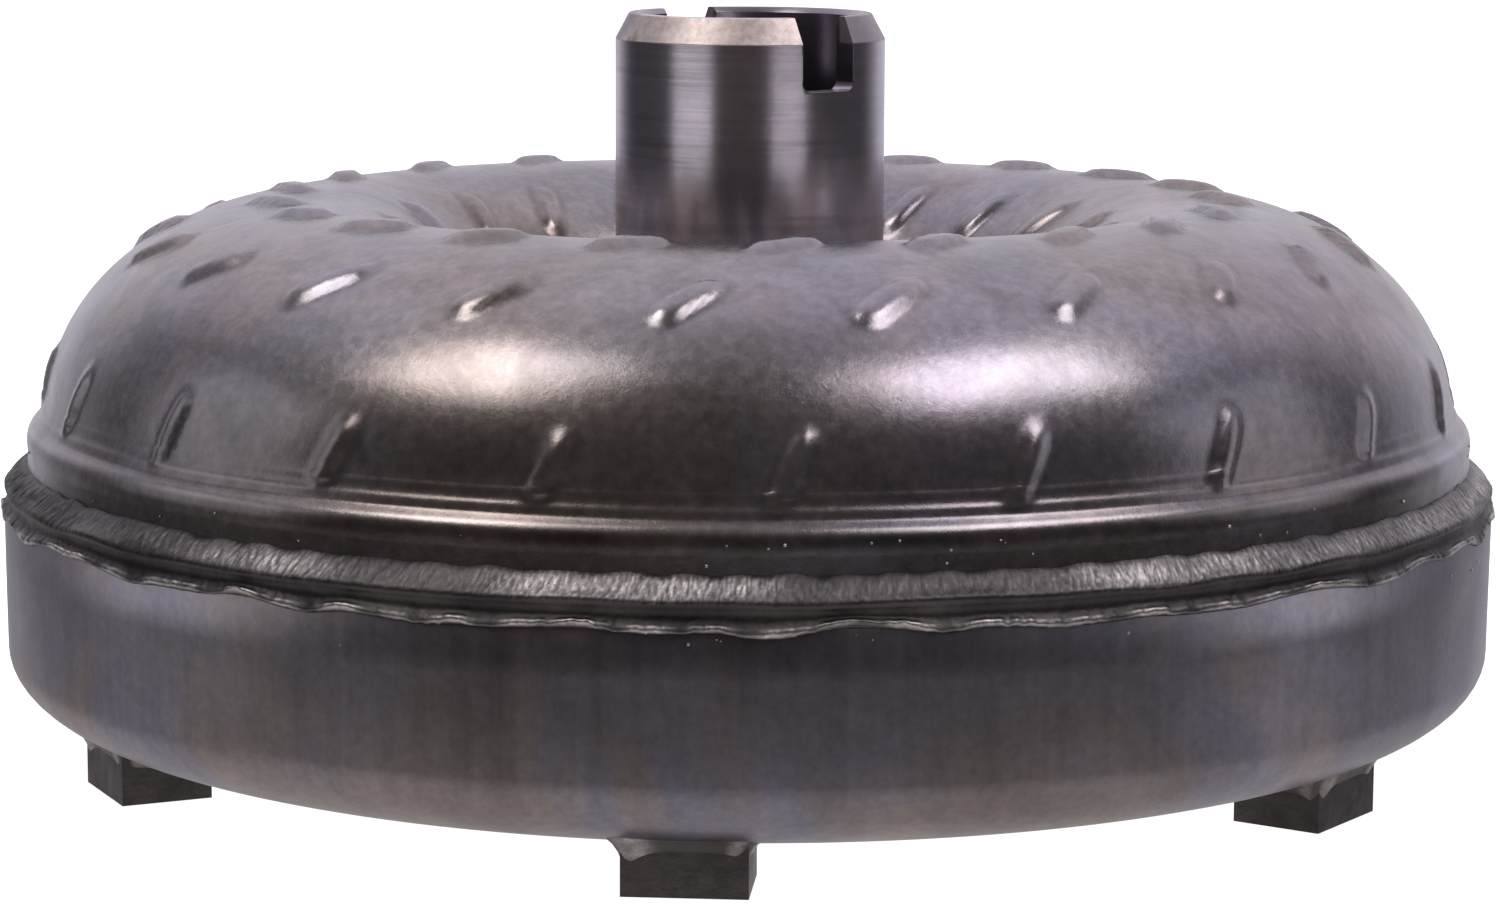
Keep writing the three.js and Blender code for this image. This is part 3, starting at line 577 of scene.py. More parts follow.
# Rows of blade tabs pressed through the shell. A row lies at a height on the dome's outer (1) or
# inner (-1) face, or at a radius on its crown. Turn of the first tab and lean are in degrees; half
# length, half width and height are in millimetres; a higher edge is crisper.
TAB_ROWS = [
    {"height": 66.8, "side": 1, "turn": 7.57, "lean": 26, "length": 5.9, "width": 1.75,
     "proud": 0.95, "edge": 6.0},
    {"height": 90.3, "side": 1, "turn": 16.47, "lean": 48, "length": 6.4, "width": 2.4,
     "proud": 1.25, "edge": 9.0},
    {"radius": 84.1, "turn": 8.46, "lean": 58, "length": 5.6, "width": 2.6,
     "proud": 1.35, "edge": 8.0},
    {"height": 90.6, "side": -1, "turn": 18.0, "lean": 20, "length": 6.2, "width": 2.2,
     "proud": 1.2, "edge": 7.5},
]


def impeller_shell():
    shoulder_rise = 4
    start = math.degrees(math.asin(shoulder_rise / DOME_HEIGHT))
    end = 180 - math.degrees(math.asin((SHELL_SEAT - TORUS_PLANE) / DOME_HEIGHT))
    dome = dome_arc(DOME_REACH, DOME_INNER_REACH, DOME_HEIGHT, start, end, 1.4)
    lip = TORUS_PLANE - 2.2
    rolled_lip = np.array([
        (0, -3.4), (0.1, -2.0), (0.05, -0.9), (-0.2, 0.0), (-0.7, 0.8), (-1.3, 1.4), (-1.85, 2.0),
        (-2.15, 2.7), (-2.4, 3.35), (-2.8, 4.0), (-3.08, 4.7), (-3.22, 5.4)])
    shoulder = np.vstack([
        [[SKIRT_SIDE, SKIRT_LOW]], [[SKIRT_SIDE, 42]], [[SKIRT_SIDE, 50]],
        smooth_line(np.vstack([rolled_lip + [SKIRT_SIDE, lip], dome[:1]]), 3)])
    hole = HUB_FLANGE_RADIUS + 0.3
    seat_low = SHELL_SEAT - SHELL_WALL
    valley = rounded_outline([
        (dome[-1][0], dome[-1][1], 0), (dome[-1][0] - 1.2, SHELL_SEAT, 3),
        (hole, SHELL_SEAT, 0.4), (hole, seat_low, 0), (52, seat_low, 0)], 4, closed=False)
    inner_height = DOME_HEIGHT - SHELL_WALL
    inner_end = 180 - math.degrees(math.asin((seat_low - TORUS_PLANE) / inner_height))
    lining = dome_arc(DOME_REACH - SHELL_WALL, DOME_INNER_REACH - SHELL_WALL, inner_height,
                      2, inner_end, 14)[::-1]
    skirt_inner = SKIRT_SIDE - SHELL_WALL
    back = np.array([[skirt_inner, TORUS_PLANE - 4.5], [skirt_inner, SKIRT_LOW]])
    outline = np.vstack([shoulder[:-1], dome, valley[1:-1], lining, back])

    step = np.linalg.norm(np.diff(outline, axis=0), axis=1)
    run = np.concatenate([[0], np.cumsum(step)])
    after = np.roll(outline, -1, axis=0) - np.roll(outline, 1, axis=0)
    tangent = after / np.linalg.norm(after, axis=1)[:, None]
    outward = np.stack([tangent[:, 1], -tangent[:, 0]], axis=-1)

    around = TABS_PER_ROW * POINTS_PER_TAB
    turn = full_turn(around)
    raised = np.zeros((len(outline), around))
    foot = np.zeros_like(raised)
    outside = np.arange(len(outline)) < len(shoulder) + len(dome)
    for row, tab in enumerate(TAB_ROWS):
        centre = tab_ring(outline, outside, tab)
        pitch = 2 * math.pi / TABS_PER_ROW
        first = FIRST_TAB_TURN + math.radians(tab["turn"])
        away = (turn - first + pitch / 2) % pitch - pitch / 2
        number = np.floor((turn - first + pitch / 2) / pitch).astype(int) % TABS_PER_ROW
        draw = np.random.default_rng(40 + row)
        own_size = draw.uniform(0.9, 1.1, TABS_PER_ROW)[number]
        own_lean = draw.uniform(-5, 5, TABS_PER_ROW)[number]
        up = (run - run[centre])[:, None]
        sideways = away[None, :] * outline[:, :1]
        lean = np.radians(tab["lean"] + own_lean)[None, :]
        along = up * np.cos(lean) + sideways * np.sin(lean)
        across = -up * np.sin(lean) + sideways * np.cos(lean)
        half_length = (tab["length"] * own_size)[None, :]
        end_run = np.clip(np.abs(along) - (half_length - tab["width"]), 0, None)
        distance = np.sqrt(across ** 2 + (end_run * 0.8) ** 2) / tab["width"]
        shape = 1 / (1 + np.exp((distance - 0.95) * tab["edge"]))
        crest = 1 - 0.25 * (along / half_length) ** 2
        bump = np.where(outside[:, None], shape * np.clip(crest, 0, 1), 0)
        bump[np.abs(up[:, 0]) > TAB_REACH] = 0
        raised = np.maximum(raised, bump * tab["proud"])
        # a ring round each tab's foot, which the shell's material darkens as painted shade
        ring = np.exp(-((distance - 1.35) / 0.3) ** 2) * (np.abs(up) < TAB_REACH)
        foot = np.maximum(foot, np.where(outside[:, None], ring, 0))
    dents = uneven(7, turn[None, :], run[:, None], (2, 9), 0.08, 24) * 0.06
    raised = raised + np.where(outside[:, None], dents, 0)
    r = outline[:, :1] + outward[:, :1] * raised
    z = outline[:, 1:] + outward[:, 1:] * raised
    grid = round_the_axis(r, z, turn)
    piece = ring_surface("impeller_shell_skin", grid, sharp_angle=75)
    store(piece, "foot", foot)
    height = outline[:, 1]
    # two painted highlight lines along the rolled lip
    worn = np.exp(-((height - lip - 0.5) / 0.55) ** 2) + 0.5 * np.exp(
        -((height - lip - 3.3) / 0.3) ** 2)
    worn = np.where((outline[:, 0] > SKIRT_SIDE - 4) & outside, worn, 0)
    store(piece, "worn", np.repeat(worn[:, None], around, axis=1))
    place_piece(piece, "shell_steel", "housing", "impeller_shell")


def tab_ring(outline, outside, tab):
    """The ring of the outline where a row of tabs is centred."""
    r, z = outline[:, 0], outline[:, 1]
    if "radius" in tab:
        error = np.abs(r - tab["radius"])
    else:
        error = np.abs(z - tab["height"]) + np.where((r - CROWN_RADIUS) * tab["side"] > 0, 0, 500)
    error = np.where(outside, error, 1000)
    return int(np.argmin(error))


# ---------------- front cover

def front_cover():
    wall_foot = COVER_FACE + COVER_CORNER_RISE
    angles = np.radians(np.linspace(90, 0, 16))
    corner = np.stack([
        COVER_SIDE - COVER_CORNER_REACH + COVER_CORNER_REACH * np.cos(angles),
        wall_foot - COVER_CORNER_RISE * np.sin(angles)], axis=-1)
    top = high_mm("front_cover")
    inner = COVER_SIDE - 3.6
    outer = np.vstack([
        [[4, COVER_FACE + 0.02]], [[30, COVER_FACE]], [[70, COVER_FACE]], [[100, COVER_FACE]],
        corner, [[COVER_SIDE + 0.1, 28]], [[COVER_SIDE + 0.2, 36]], [[COVER_SIDE + 0.3, top - 0.4]],
        [[COVER_SIDE - 0.1, top]], [[inner, top]]])
    floor = COVER_FACE + 4.5
    inside = np.array([
        [inner, floor + 9], [inner - 1.8, floor + 5.2], [inner - 5.6, floor + 2.4],
        [inner - 12.6, floor], [60, floor], [4, floor]])
    outline = np.vstack([outer, inside])

    def worked(r, z, turn):
        wave = uneven(11, turn, z / 9, (2, 7), 1.0, 20) * 0.05
        return r + np.where(r > 100, wave, 0), z

    grid = turned(outline, 480, worked)
    poles = [[0, 0, COVER_FACE + 0.02], [0, 0, floor]]
    piece = ring_surface("front_cover_skin", grid, poles, sharp_angle=50)
    place_piece(piece, "cover_steel", "housing", "front_cover")


# ---------------- closing weld

def closing_weld():
    """The bead between shell and cover: a rippled upper face, a dark hollow and a toe, with painted
    highlights on the upper face and the toe.
    index counts the section's points, and t is the turn."""
    section = np.array([
        [-0.2, -0.1], [0.3, -0.25], [0.9, -0.7], [1.5, -1.25], [2.1, -1.85], [2.7, -2.4],
        [3.2, -2.85], [3.7, -3.25], [4.05, -3.7], [4.1, -4.25], [3.7, -4.8], [3.4, -5.4],
        [3.4, -6.1], [3.65, -6.7], [4.2, -7.05], [4.62, -7.4], [4.7, -7.85], [4.3, -8.4],
        [3.6, -8.4], [1.0, -7.1], [-0.4, -5.5], [-0.5, -2.5]]) + [SKIRT_SIDE, WELD_HIGH]
    order = np.arange(len(section))
    seen = order <= 17
    around = 2400
    t = full_turn(around)[None, :]
    index = order[:, None].astype(float)
    upper = np.exp(-((index - 4.5) / 3.4) ** 2)
    toe = np.exp(-((index - 15.3) / 1.5) ** 2)
    lower = np.exp(-((index - 16) / 3.0) ** 2)
    crest = np.exp(-((index - 8.0) / 2.2) ** 2)
    slow = uneven(28, t, 0 * index, (5, 42), 0, 30)
    wander = uneven(21, t, 0 * index, (3, 40), 0, 30)
    toe_wander = uneven(22, t, 0 * index, (20, 90), 0, 50)
    toe_fine = uneven(27, t, 0 * index, (120, 420), 0, 40)
    lumps = uneven(23, t, index, (200, 700), 2.2, 90)
    grain = uneven(24, t, index, (300, 900), 1.8, 60)
    beat = t * 520 + wander * 14 + lumps * 0.9 + ((index - 4) ** 2) * 0.16
    ripple = np.sin(beat) * 0.5 + 0.5
    r = section[:, :1] + 0.16 * crest * wander + 0.05 * upper * lumps
    r = r + 0.02 * grain * seen[:, None] + toe * (0.06 * toe_fine + 0.06 * toe_wander)
    z = section[:, 1:] + 0.20 * crest * wander + 0.05 * upper * lumps
    z = z + upper * 0.012 * ripple + lower * 0.50 * slow
    z = z + toe * (0.20 * toe_wander + 0.08 * toe_fine)
    edge = np.exp(-((index - 0.5) / 1.3) ** 2)
    z = z + edge * 0.22 * uneven(25, t, 0 * index, (8, 110), 0, 40)
    r[~seen] = np.repeat(section[~seen, :1], around, axis=1)
    z[~seen] = np.repeat(section[~seen, 1:], around, axis=1)
    piece = ring_surface("closing_weld_bead", round_the_axis(r, z, t), sharp_angle=80)
    patchy = np.clip(0.60 + 0.6 * uneven(26, t, 0 * index, (2, 14), 0, 20), 0.15, 1)
    # painted shade: the bead's side towards -X gets less painted highlight
    shaded_side = np.clip((np.cos(t - math.radians(-172)) - 0.56) / 0.22, 0, 1)
    patchy = patchy * (1 - 0.80 * shaded_side ** 2 * (3 - 2 * shaded_side))
    scales = np.clip(0.75 + 0.3 * uneven(29, t, index, (500, 1150), 2.6, 90), 0.25, 1.1)
    # painted highlight on the upper face, and below it a painted highlight line along the toe
    ridge = upper * scales * (0.9 + 0.1 * ripple) * patchy * np.clip(0.8 + 0.25 * lumps, 0.2, 1)
    ridge = ridge * (index < 9)
    bright_toe = np.exp(-((index - 15.5) / 0.8) ** 2) * np.clip(0.7 + 0.4 * toe_wander, 0.2, 1)
    store(piece, "ridge", np.clip(ridge + bright_toe, 0, 1))
    place_piece(piece, "weld_steel", "housing", "closing_weld")


# ---------------- pump hub

def cut_away(piece, cutter):
    """Cuts one mesh out of another for good."""
    modifier = piece.modifiers.new("cut", "BOOLEAN")
    modifier.operation = "DIFFERENCE"
    modifier.solver = "EXACT"
    modifier.object = cutter
    settled(piece)
    bpy.data.objects.remove(cutter)


def settled(piece):
    """Turns a piece's modifiers into plain mesh."""
    graph = bpy.context.evaluated_depsgraph_get()
    mesh = bpy.data.meshes.new_from_object(piece.evaluated_get(graph))
    piece.modifiers.clear()
    old = piece.data
    piece.data = mesh
    bpy.data.meshes.remove(old)


def bevelled(piece, width, segments=2, angle=35):
    modifier = piece.modifiers.new("edges", "BEVEL")
    modifier.width = width * MM
    modifier.segments = segments
    modifier.limit_method = "ANGLE"
    modifier.angle_limit = math.radians(angle)
    settled(piece)


def even_shading(piece, sharp_angle):
    """Smooth shading that keeps flat faces flat beside cuts."""
    piece.data.polygons.foreach_set("use_smooth", np.full(len(piece.data.polygons), True))
    piece.data.set_sharp_from_angle(angle=math.radians(sharp_angle))
    modifier = piece.modifiers.new("normals", "WEIGHTED_NORMAL")
    modifier.keep_sharp = True
    settled(piece)


def slab(name, size, centre, turn=0.0, edge=0.0, segments=4):
    """A block with rounded edges, turned about Z, for cutting or joining. Millimetres."""
    work = bmesh.new()
    bmesh.ops.create_cube(work, size=1)
    bmesh.ops.scale(work, vec=Vector(size) * MM, verts=work.verts)
    if edge:
        bmesh.ops.bevel(work, geom=work.edges[:], offset=edge * MM, segments=segments,
                        profile=0.5, affect="EDGES")
    bmesh.ops.translate(work, vec=Vector(centre) * MM, verts=work.verts)
    bmesh.ops.rotate(work, cent=(0, 0, 0), matrix=Matrix.Rotation(turn, 3, "Z"), verts=work.verts)
    mesh = bpy.data.meshes.new(name)
    work.to_mesh(mesh)
    work.free()
    return stand(name, mesh)


def pump_hub():
    flange_top = HUB_FLANGE_LOW + 5.5
    chamfer_low = HUB_END - 4.5
    piece = turned_piece("pump_hub", [
        (HUB_BORE, HUB_FLANGE_LOW, 0.4), (HUB_FLANGE_RADIUS, HUB_FLANGE_LOW, 0.5),
        (HUB_FLANGE_RADIUS, flange_top, 0.5), (HUB_RADIUS, flange_top, 2.0),
        (HUB_RADIUS, chamfer_low, 0.35), (HUB_RADIUS - 2.4, HUB_END, 0.35),
        (HUB_BORE + 0.8, HUB_END, 0.2), (HUB_BORE, HUB_END - 0.9, 0.2)],
        around=288, steps=4, spacing=2.2)
    slot_turn = math.radians(40)
    slot_centre = (HUB_BORE + HUB_RADIUS) / 2
    for turn in (slot_turn, slot_turn + math.pi):
        cutter = slab("slot_cutter", (10.7, 14, 25.4), (0, -slot_centre, HUB_END), turn, 1.6)
        cut_away(piece, cutter)
    bevelled(piece, 0.42, 3, 40)
    even_shading(piece, 40)
    place_piece(piece, "ground_steel", "housing", "impeller_hub")


def hub_weld():
    foot = low_mm("hub_weld")
    middle = HUB_FLANGE_RADIUS + 0.3

    def rippled(r, z, turn):
        across = r - middle
        lumps = uneven(31, turn, across, (20, 120), 0.8, 40)
        ripple = np.sin(turn * HUB_WELD_RIPPLES + across * across * 0.35)
        high = np.clip((z - foot) / 1.4, 0, 1)
        return r + high * 0.05 * lumps, z + high * (0.10 * ripple + 0.08 * lumps)

    arc = np.radians(np.linspace(0, 180, 13))
    outline = np.stack([middle + 3.0 * np.cos(arc), foot + 1.4 * np.sin(arc)], axis=-1)
    outline = np.vstack([outline, [[middle - 1.5, foot - 0.05]], [[middle + 1.5, foot - 0.05]]])
    around = 720
    grid = turned(outline, around, rippled)
    piece = ring_surface("hub_weld_bead", grid, sharp_angle=70)
    turn = full_turn(around)
    # painted highlight along the ripples' crests
    ridge = np.clip(
        0.35 + 0.3 * np.sin(turn[None, :] * HUB_WELD_RIPPLES + 0 * outline[:, :1]), 0, 1)
    store(piece, "ridge", ridge)
    place_piece(piece, "weld_steel", "housing", "hub_weld")


# ---------------- pieces that repeat in a ring

def copying_tree(name, *inputs):
    """A geometry tree with further named inputs. Gives back the tree, its source node and each
    further input's identifier."""
    tree = bpy.data.node_groups.new(name, "GeometryNodeTree")
    face = tree.interface
    face.new_socket("Geometry", in_out="INPUT", socket_type="NodeSocketGeometry")
    keys = [face.new_socket(label, in_out="INPUT", socket_type=kind).identifier
            for label, kind in inputs]
    face.new_socket("Geometry", in_out="OUTPUT", socket_type="NodeSocketGeometry")
    return tree, tree.nodes.new("NodeGroupInput"), keys


def run_tree(piece, tree, copies, finish, settings):
    """Makes a tree's copies real mesh of one finish, and keeps the result as the piece."""
    nodes, link = tree.nodes, tree.links.new
    real = nodes.new("GeometryNodeRealizeInstances")
    link(copies.outputs[0], real.inputs[0])
    paint = nodes.new("GeometryNodeSetMaterial")
    paint.inputs["Material"].default_value = FINISHES[finish]
    link(real.outputs[0], paint.inputs["Geometry"])
    link(paint.outputs[0], nodes.new("NodeGroupOutput").inputs[0])
    modifier = piece.modifiers.new("copies", "NODES")
    modifier.node_group = tree
    for key, value in settings.items():
        modifier[key] = value
    settled(piece)


def ring_of_lugs(piece, finish):
    """Stands a copy of a piece at each drive lug and keeps them as one mesh."""
    tree, source, keys = copying_tree(
        piece.name + "_ring", ("Count", "NodeSocketInt"), ("First turn", "NodeSocketFloat"))
    new, link = tree.nodes.new, tree.links.new
    line = new("GeometryNodePoints")
    link(source.outputs["Count"], line.inputs["Count"])
    step = new("ShaderNodeMath")
    step.operation = "DIVIDE"
    step.inputs[0].default_value = 2 * math.pi
    link(source.outputs["Count"], step.inputs[1])
    angle = new("ShaderNodeMath")
    angle.operation = "MULTIPLY_ADD"
    link(new("GeometryNodeInputIndex").outputs[0], angle.inputs[0])
    link(step.outputs[0], angle.inputs[1])
    link(source.outputs["First turn"], angle.inputs[2])
    spin = new("ShaderNodeCombineXYZ")
    link(angle.outputs[0], spin.inputs["Z"])
    copies = new("GeometryNodeInstanceOnPoints")
    link(line.outputs[0], copies.inputs["Points"])
    link(source.outputs["Geometry"], copies.inputs["Instance"])
    link(spin.outputs[0], copies.inputs["Rotation"])
    run_tree(piece, tree, copies, finish, dict(zip(keys, (LUG_COUNT, -math.pi / 2))))


LUG_OUTER = COVER_SIDE - 11
LUG_DEPTH = 15.6
LUG_INNER = LUG_OUTER - LUG_DEPTH
LUG_CENTRE = (LUG_OUTER + LUG_INNER) / 2
LUG_WIDTH = 19.9
LUG_COUNT = 6
LUG_HOLE_RADIUS = 4.25


def drive_lugs():
    outline = [
        (LUG_INNER, 0), (LUG_OUTER, 0), (LUG_OUTER, 9.5), (LUG_OUTER - 8, 7.6), (LUG_INNER, 7.5)]
    work = bmesh.new()
    near = [work.verts.new((r * MM, -LUG_WIDTH / 2 * MM, z * MM)) for r, z in outline]
    far = [work.verts.new((r * MM, LUG_WIDTH / 2 * MM, z * MM)) for r, z in outline]
    work.faces.new(near)
    work.faces.new(far[::-1])
    for i in range(len(outline)):
        j = (i + 1) % len(outline)
        work.faces.new((near[j], near[i], far[i], far[j]))
    bmesh.ops.recalc_face_normals(work, faces=work.faces)
    mesh = bpy.data.meshes.new("drive_lugs")
    work.to_mesh(mesh)
    work.free()
    piece = stand("drive_lugs", mesh)
    cutter = turned_solid("lug_thread", [
        (0, -1, 0), (5.2, -1, 0), (5.2, 0.0, 0), (LUG_HOLE_RADIUS, 0.95, 0)]
        + [(LUG_HOLE_RADIUS + 0.45 * (k % 2), 1.3 + 0.6 * k, 0) for k in range(1, 10)]
        + [(LUG_HOLE_RADIUS, 8.6, 0), (0, 8.6, 0)], around=40, sharp_angle=20)
    for vertex in cutter.data.vertices:
        vertex.co.x += LUG_CENTRE * MM
    cut_away(piece, cutter)
    bevelled(piece, 0.7, 3, 60)
    ring_of_lugs(piece, "lug_steel")
    even_shading(piece, 35)
    place_piece(piece, "lug_steel", "housing", *[f"drive_lug_{i + 1}" for i in range(LUG_COUNT)])


def lug_welds():
    """The fillet weld round the top of each lug, built on a rounded rectangle."""
    around = 260
    turn = full_turn(around)
    half_r, half_w, power = LUG_DEPTH / 2, LUG_WIDTH / 2, 0.32
    x = np.sign(np.cos(turn)) * np.abs(np.cos(turn)) ** power
    y = np.sign(np.sin(turn)) * np.abs(np.sin(turn)) ** power
    lumps = uneven(51, turn, 0 * turn, (1, 4), 0, 20)
    fine = uneven(52, turn, 0 * turn, (3, 12), 0, 30)
    corner = np.abs(np.sin(2 * turn)) ** 1.5
    reach = 1.6 + 0.9 * corner + 0.35 * lumps + 0.06 * fine
    drop = 1.7 + 1.5 * corner + 0.4 * lumps
    rings = []
    for out, down in ((-0.8, 1.6), (-0.4, 1.3), (0.12, 1.0), (0.3, 0.6), (0.62, 0.24), (1.0, 0.0),
                      (1.0, -0.25), (-0.8, -0.3)):
        rx = LUG_CENTRE + x * (half_r + np.clip(reach, 0.5, 4) * out)
        ry = y * (half_w + np.clip(reach, 0.5, 4) * out)
        distance = np.sqrt(rx ** 2 + ry ** 2)
        edge = COVER_SIDE - COVER_CORNER_REACH
        over = np.clip((distance - edge) / COVER_CORNER_REACH, 0, 0.98)
        roof = COVER_FACE + COVER_CORNER_RISE * (1 - np.sqrt(1 - over ** 2))
        rings.append(np.stack([rx, ry, roof + 0.15 - np.clip(drop, 0.3, 5) * down], axis=-1))
    piece = ring_surface("lug_weld_fillets", np.array(rings), sharp_angle=80)
    # a faint painted highlight, varying along the weld
    store(piece, "ridge", np.clip(0.12 + 0.12 * np.repeat(fine[None, :], len(rings), 0), 0, 0.5))
    ring_of_lugs(piece, "weld_steel")
    place_piece(piece, "weld_steel", "housing")


def pilot_boss():
    low = low_mm("pilot_boss")
    piece = turned_solid("pilot_boss_turned", [
        (0, low + 1.2, 0), (3, low + 1.2, 0.3), (4.5, low, 0.3), (19.5, low, 0.5),
        (21, low + 1.5, 0.6), (21, 6.2, 0.6), (22.4, 7.4, 0), (22.4, 7.6, 0), (0, 7.6, 0)],
        around=160)
    place_piece(piece, "ground_steel", "housing", "pilot_boss")


# ---------------- splined pieces in the bore

def splined_piece(name, corners, bore, teeth, depth, body, node):
    """A turned piece whose bore has straight splines cut outwards from its inner radius."""
    outline = spaced(rounded_outline(corners, 3), 4.0)

    def grooved(r, z, turn):
        wave = np.clip(np.cos(teeth * turn) * 1.8, -1, 1) * 0.5 + 0.5
        return r + np.where(r < bore + 0.05, depth * wave, 0), z

    piece = ring_surface(name, turned(outline, teeth * 16, grooved), sharp_angle=35)
    place_piece(piece, "ground_steel", body, node)


def turbine_hub():
    low, high, flange = low_mm("turbine_hub"), high_mm("turbine_hub"), side_mm("turbine_hub")
    body, bore = flange - 17, flange - 30.5
    plate = high - 6.4
    splined_piece("turbine_hub_splined", [
        (bore + 1.6, low, 0), (body - 1, low, 0), (body, low + 1, 0), (body, plate, 1.0),
        (flange, plate, 0.6), (flange, plate + 3.5, 0.6), (body, plate + 3.5, 1.0),
        (body, high - 0.8, 0), (body - 0.8, high, 0), (bore + 1.6, high, 0),
        (bore, high - 1.4, 0), (bore, low + 1.4, 0)], bore, 26, 1.3, "turbine", "turbine_hub")


def stator_race():
    low, high, outer = (f("stator_inner_race") for f in (low_mm, high_mm, side_mm))
    bore = outer - 10.5
    splined_piece("stator_race_splined", [
        (bore + 1.7, low, 0), (outer - 0.6, low, 0), (outer, low + 0.6, 0),
        (outer, high - 0.6, 0), (outer - 0.6, high, 0), (bore + 1.7, high, 0),
        (bore, high - 1.4, 0), (bore, low + 1.4, 0)], bore, 32, 1.3,
        "reaction_race", "stator_inner_race")


# ---------------- weld spatter

def weld_spatter():
    """Small beads of weld metal that stuck to the skirt and to the cover's side."""
    draw = np.random.default_rng(77)
    beads_on_skirt, count = 62, 80
    turn = draw.uniform(0, 2 * math.pi, count)
    high = np.arange(count) < beads_on_skirt
    z = np.where(high, WELD_HIGH + draw.uniform(0.8, 5.0, count), draw.uniform(38, 43.5, count))
    r = np.where(high, SKIRT_SIDE + 0.02, COVER_SIDE + 0.2)
    points = round_the_axis(r, z, turn) * MM
    mesh = bpy.data.meshes.new("weld_spatter")
    mesh.from_pydata(points.tolist(), [], [])
    piece = stand("weld_spatter", mesh)

    tree, source, keys = copying_tree("spatter", ("Bead radius", "NodeSocketFloat"))
    new, link = tree.nodes.new, tree.links.new
    bead = new("GeometryNodeMeshIcoSphere")
    bead.inputs["Subdivisions"].default_value = 2
    link(source.outputs["Bead radius"], bead.inputs["Radius"])
    scale = new("FunctionNodeRandomValue")
    scale.data_type = "FLOAT"
    low, top = ([k for k in scale.inputs if k.name == n and k.enabled][0] for n in ("Min", "Max"))
    low.default_value, top.default_value = 0.45, 1.3
    scale.inputs["Seed"].default_value = 5
    beads = new("GeometryNodeInstanceOnPoints")
    link(source.outputs["Geometry"], beads.inputs["Points"])
    link(bead.outputs["Mesh"], beads.inputs["Instance"])
    link([k for k in scale.outputs if k.enabled][0], beads.inputs["Scale"])
    run_tree(piece, tree, beads, "weld_steel", {keys[0]: 0.28 * MM})
    piece.data.polygons.foreach_set("use_smooth", np.full(len(piece.data.polygons), True))
    # painted highlight on every bead
    store(piece, "ridge", np.full(len(piece.data.vertices), 0.8))
    place_piece(piece, "weld_steel", "housing")


impeller_shell()
front_cover()
closing_weld()
pump_hub()
hub_weld()
drive_lugs()
lug_welds()
pilot_boss()
turbine_hub()
stator_race()
weld_spatter()

# ---------------- CAD pieces that keep their shape

SLOTS = {s["node"]: s["material_slot"] for s in frame["record"]["subparts"]}
for node, cad in frame["nodes"].items():
    cad.data.materials.clear()
    cad.data.materials.append(FINISHES[SLOTS[node]])

# ---------------- floor and light

def studio():
    bpy.context.scene.view_settings.view_transform = "Standard"
    floor_mesh = bpy.data.meshes.new("floor")
    half = 6.0
    floor_mesh.from_pydata([(-half, -half, 0), (half, -half, 0), (half, half, 0), (-half, half, 0)],
                           [], [(0, 1, 2, 3)])
    floor = stand("floor", floor_mesh)
    paper = Finish("floor_paper")
    fibre = paper.noise(300, 3)
    colour = paper.ramp(fibre, [(0.3, (0.86, 0.86, 0.86)), (0.7, (0.9, 0.9, 0.9))])
    paper.finish(colour, 0.9, metallic=0.0)
    paper.shader.inputs["Emission Color"].default_value = (1, 1, 1, 1)
    paper.shader.inputs["Emission Strength"].default_value = 1.0
    side_seen = paper.put("ShaderNodeNewGeometry").outputs["Backfacing"]
    clear = paper.put("ShaderNodeBsdfTransparent")
    mixed_shader = paper.put("ShaderNodeMixShader")
    paper.give(mixed_shader.inputs[0], side_seen)
    paper.give(mixed_shader.inputs[1], paper.shader.outputs[0])
    paper.give(mixed_shader.inputs[2], clear.outputs[0])
    paper.give(paper.tree.nodes["Material Output"].inputs["Surface"], mixed_shader.outputs[0])
    floor_mesh.materials.append(paper.material)
    floor.visible_glossy = False
    floor.location.z = CAD_BOX[0][2] - 0.0002

    world = bpy.data.worlds.new("studio")
    bpy.context.scene.world = world
    world.use_nodes = True
    tree = world.node_tree
    tree.nodes.clear()
    new, link = tree.nodes.new, tree.links.new
    place = new("ShaderNodeTexCoord")
    split = new("ShaderNodeSeparateXYZ")
    link(place.outputs["Generated"], split.inputs[0])

    def fade(value, low, high):
        node = new("ShaderNodeMapRange")
        node.interpolation_type = "SMOOTHSTEP"
        link(value, node.inputs[0])
        node.inputs[1].default_value = low
        node.inputs[2].default_value = high
        return node.outputs[0]

    def mixed(factor, a, b):
        node = new("ShaderNodeMix")
        node.data_type = "RGBA"
        link(factor, node.inputs[0])
        for socket, value in ((node.inputs[6], a), (node.inputs[7], b)):
            if isinstance(value, bpy.types.NodeSocket):
                link(value, socket)
            else:
                socket.default_value = (*value, 1)
        return node.outputs[2]

    front, behind, below = (0.098, 0.088, 0.087), (0.78, 0.75, 0.84), (0.66, 0.62, 0.62)
    side_card = (0.085, 0.081, 0.089)
    colour = mixed(fade(split.outputs[1], -0.45, 0.45), front, behind)
    side = new("ShaderNodeMath")
    side.operation = "ABSOLUTE"
    link(split.outputs[0], side.inputs[0])
    colour = mixed(fade(side.outputs[0], 0.50, 0.93), colour, side_card)
    down = new("ShaderNodeMath")
    down.operation = "MULTIPLY"
    down.inputs[1].default_value = -1
    link(split.outputs[2], down.inputs[0])
    colour = mixed(fade(down.outputs[0], 0.14, 0.5), colour, below)
    seen = new("ShaderNodeLightPath")
    colour = mixed(seen.outputs["Is Camera Ray"], colour, (1, 1, 1))
    back = new("ShaderNodeBackground")
    link(colour, back.inputs["Color"])
    out = new("ShaderNodeOutputWorld")
    link(back.outputs[0], out.inputs["Surface"])

    for name, *settings in LAMPS:
        softbox(name, *settings)


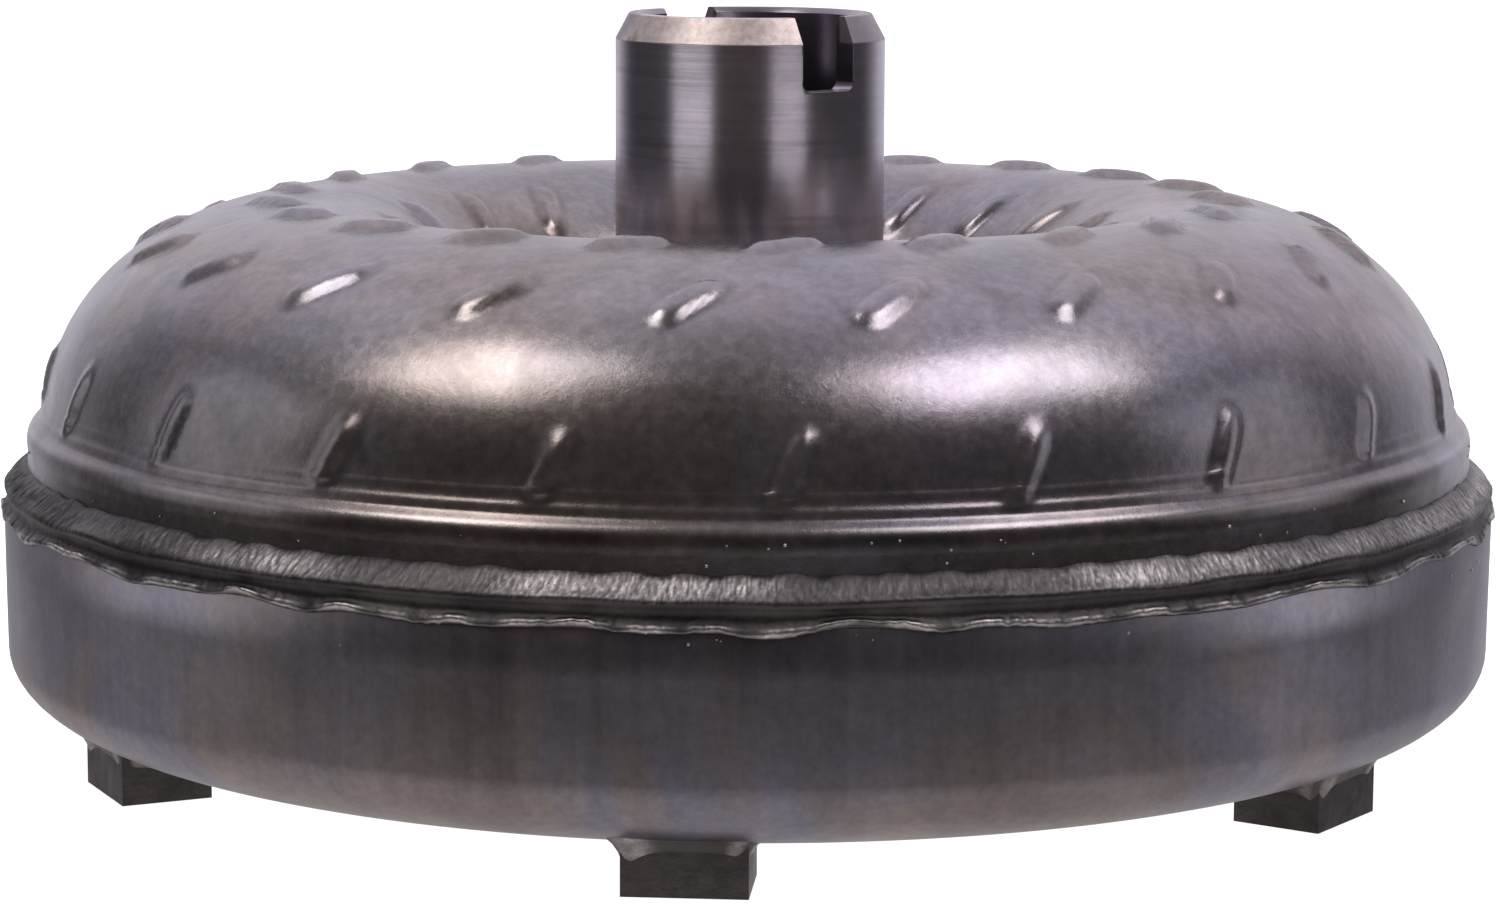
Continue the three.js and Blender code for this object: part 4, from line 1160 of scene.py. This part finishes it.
# Name, azimuth and elevation in degrees, distance and height aimed at in metres, size in metres,
# power in watts, tint, and the one piece that it lights, where it doesn't light everything.
LAMPS = [
    ("softbox_left", -58, 56, 1.5, 0.06, (0.56, 0.62), 4.3, (1, 0.95, 0.93), None),
    ("softbox_right", 62, 55, 1.5, 0.06, (0.84, 0.56), 4.9, (1, 0.95, 0.97), None),
    ("panel_left", -84, 12, 0.9, 0.06, (0.55, 0.6), 1.9, (0.97, 0.95, 1), "front_cover_skin"),
    ("panel_right", 88, 12, 0.9, 0.06, (0.5, 0.6), 1.9, (0.98, 0.95, 1), "front_cover_skin"),
    ("dome_panel_left", -84, 12, 0.9, 0.06, (0.55, 0.6), 0.55, (0.96, 0.95, 1),
     "impeller_shell_skin"),
    ("dome_panel_right", 88, 12, 0.9, 0.06, (0.5, 0.6), 0.55, (0.97, 0.95, 1),
     "impeller_shell_skin"),
    ("strip_left", -45, 0, 0.55, 0.032, (0.34, 0.13), 0.22, (0.98, 0.97, 1), "pump_hub"),
    ("strip_right", 37, 0, 0.55, 0.032, (0.28, 0.13), 0.17, (0.97, 0.94, 1), "pump_hub"),
]


def softbox(name, azimuth, elevation, distance, aimed_at, size, power, tint, only):
    light = bpy.data.lights.new(name, "AREA")
    light.shape = "RECTANGLE"
    light.size, light.size_y = size
    light.energy = power
    light.color = tint
    lamp = stand(name, light)
    a, e = math.radians(azimuth), math.radians(elevation)
    away = Vector((math.sin(a) * math.cos(e), -math.cos(a) * math.cos(e), math.sin(e)))
    lamp.location = Vector((0, 0, aimed_at)) + distance * away
    lamp.rotation_euler = away.to_track_quat("Z", "Y").to_euler()
    if only:
        lit = bpy.data.collections.new(name + "_lights")
        lit.objects.link(bpy.data.objects[only])
        lamp.light_linking.receiver_collection = lit


def camera():
    lens = bpy.data.cameras.new("camera")
    lens.sensor_width = 36
    lens.lens = 103.5
    lens.shift_x = 0.00097
    lens.clip_end = 50
    eye = stand("camera", lens)
    azimuth, pitch, roll = math.radians(4.57), 0.1512, 0.0043
    distance, height = 0.7637, 0.1673
    eye.location = (distance * math.sin(azimuth), -distance * math.cos(azimuth), height)
    aim = Matrix.Rotation(azimuth, 4, "Z") @ Matrix.Rotation(math.pi / 2 - pitch, 4, "X")
    eye.rotation_euler = (aim @ Matrix.Rotation(roll, 4, "Z")).to_euler()
    bpy.context.scene.camera = eye


studio()
camera()
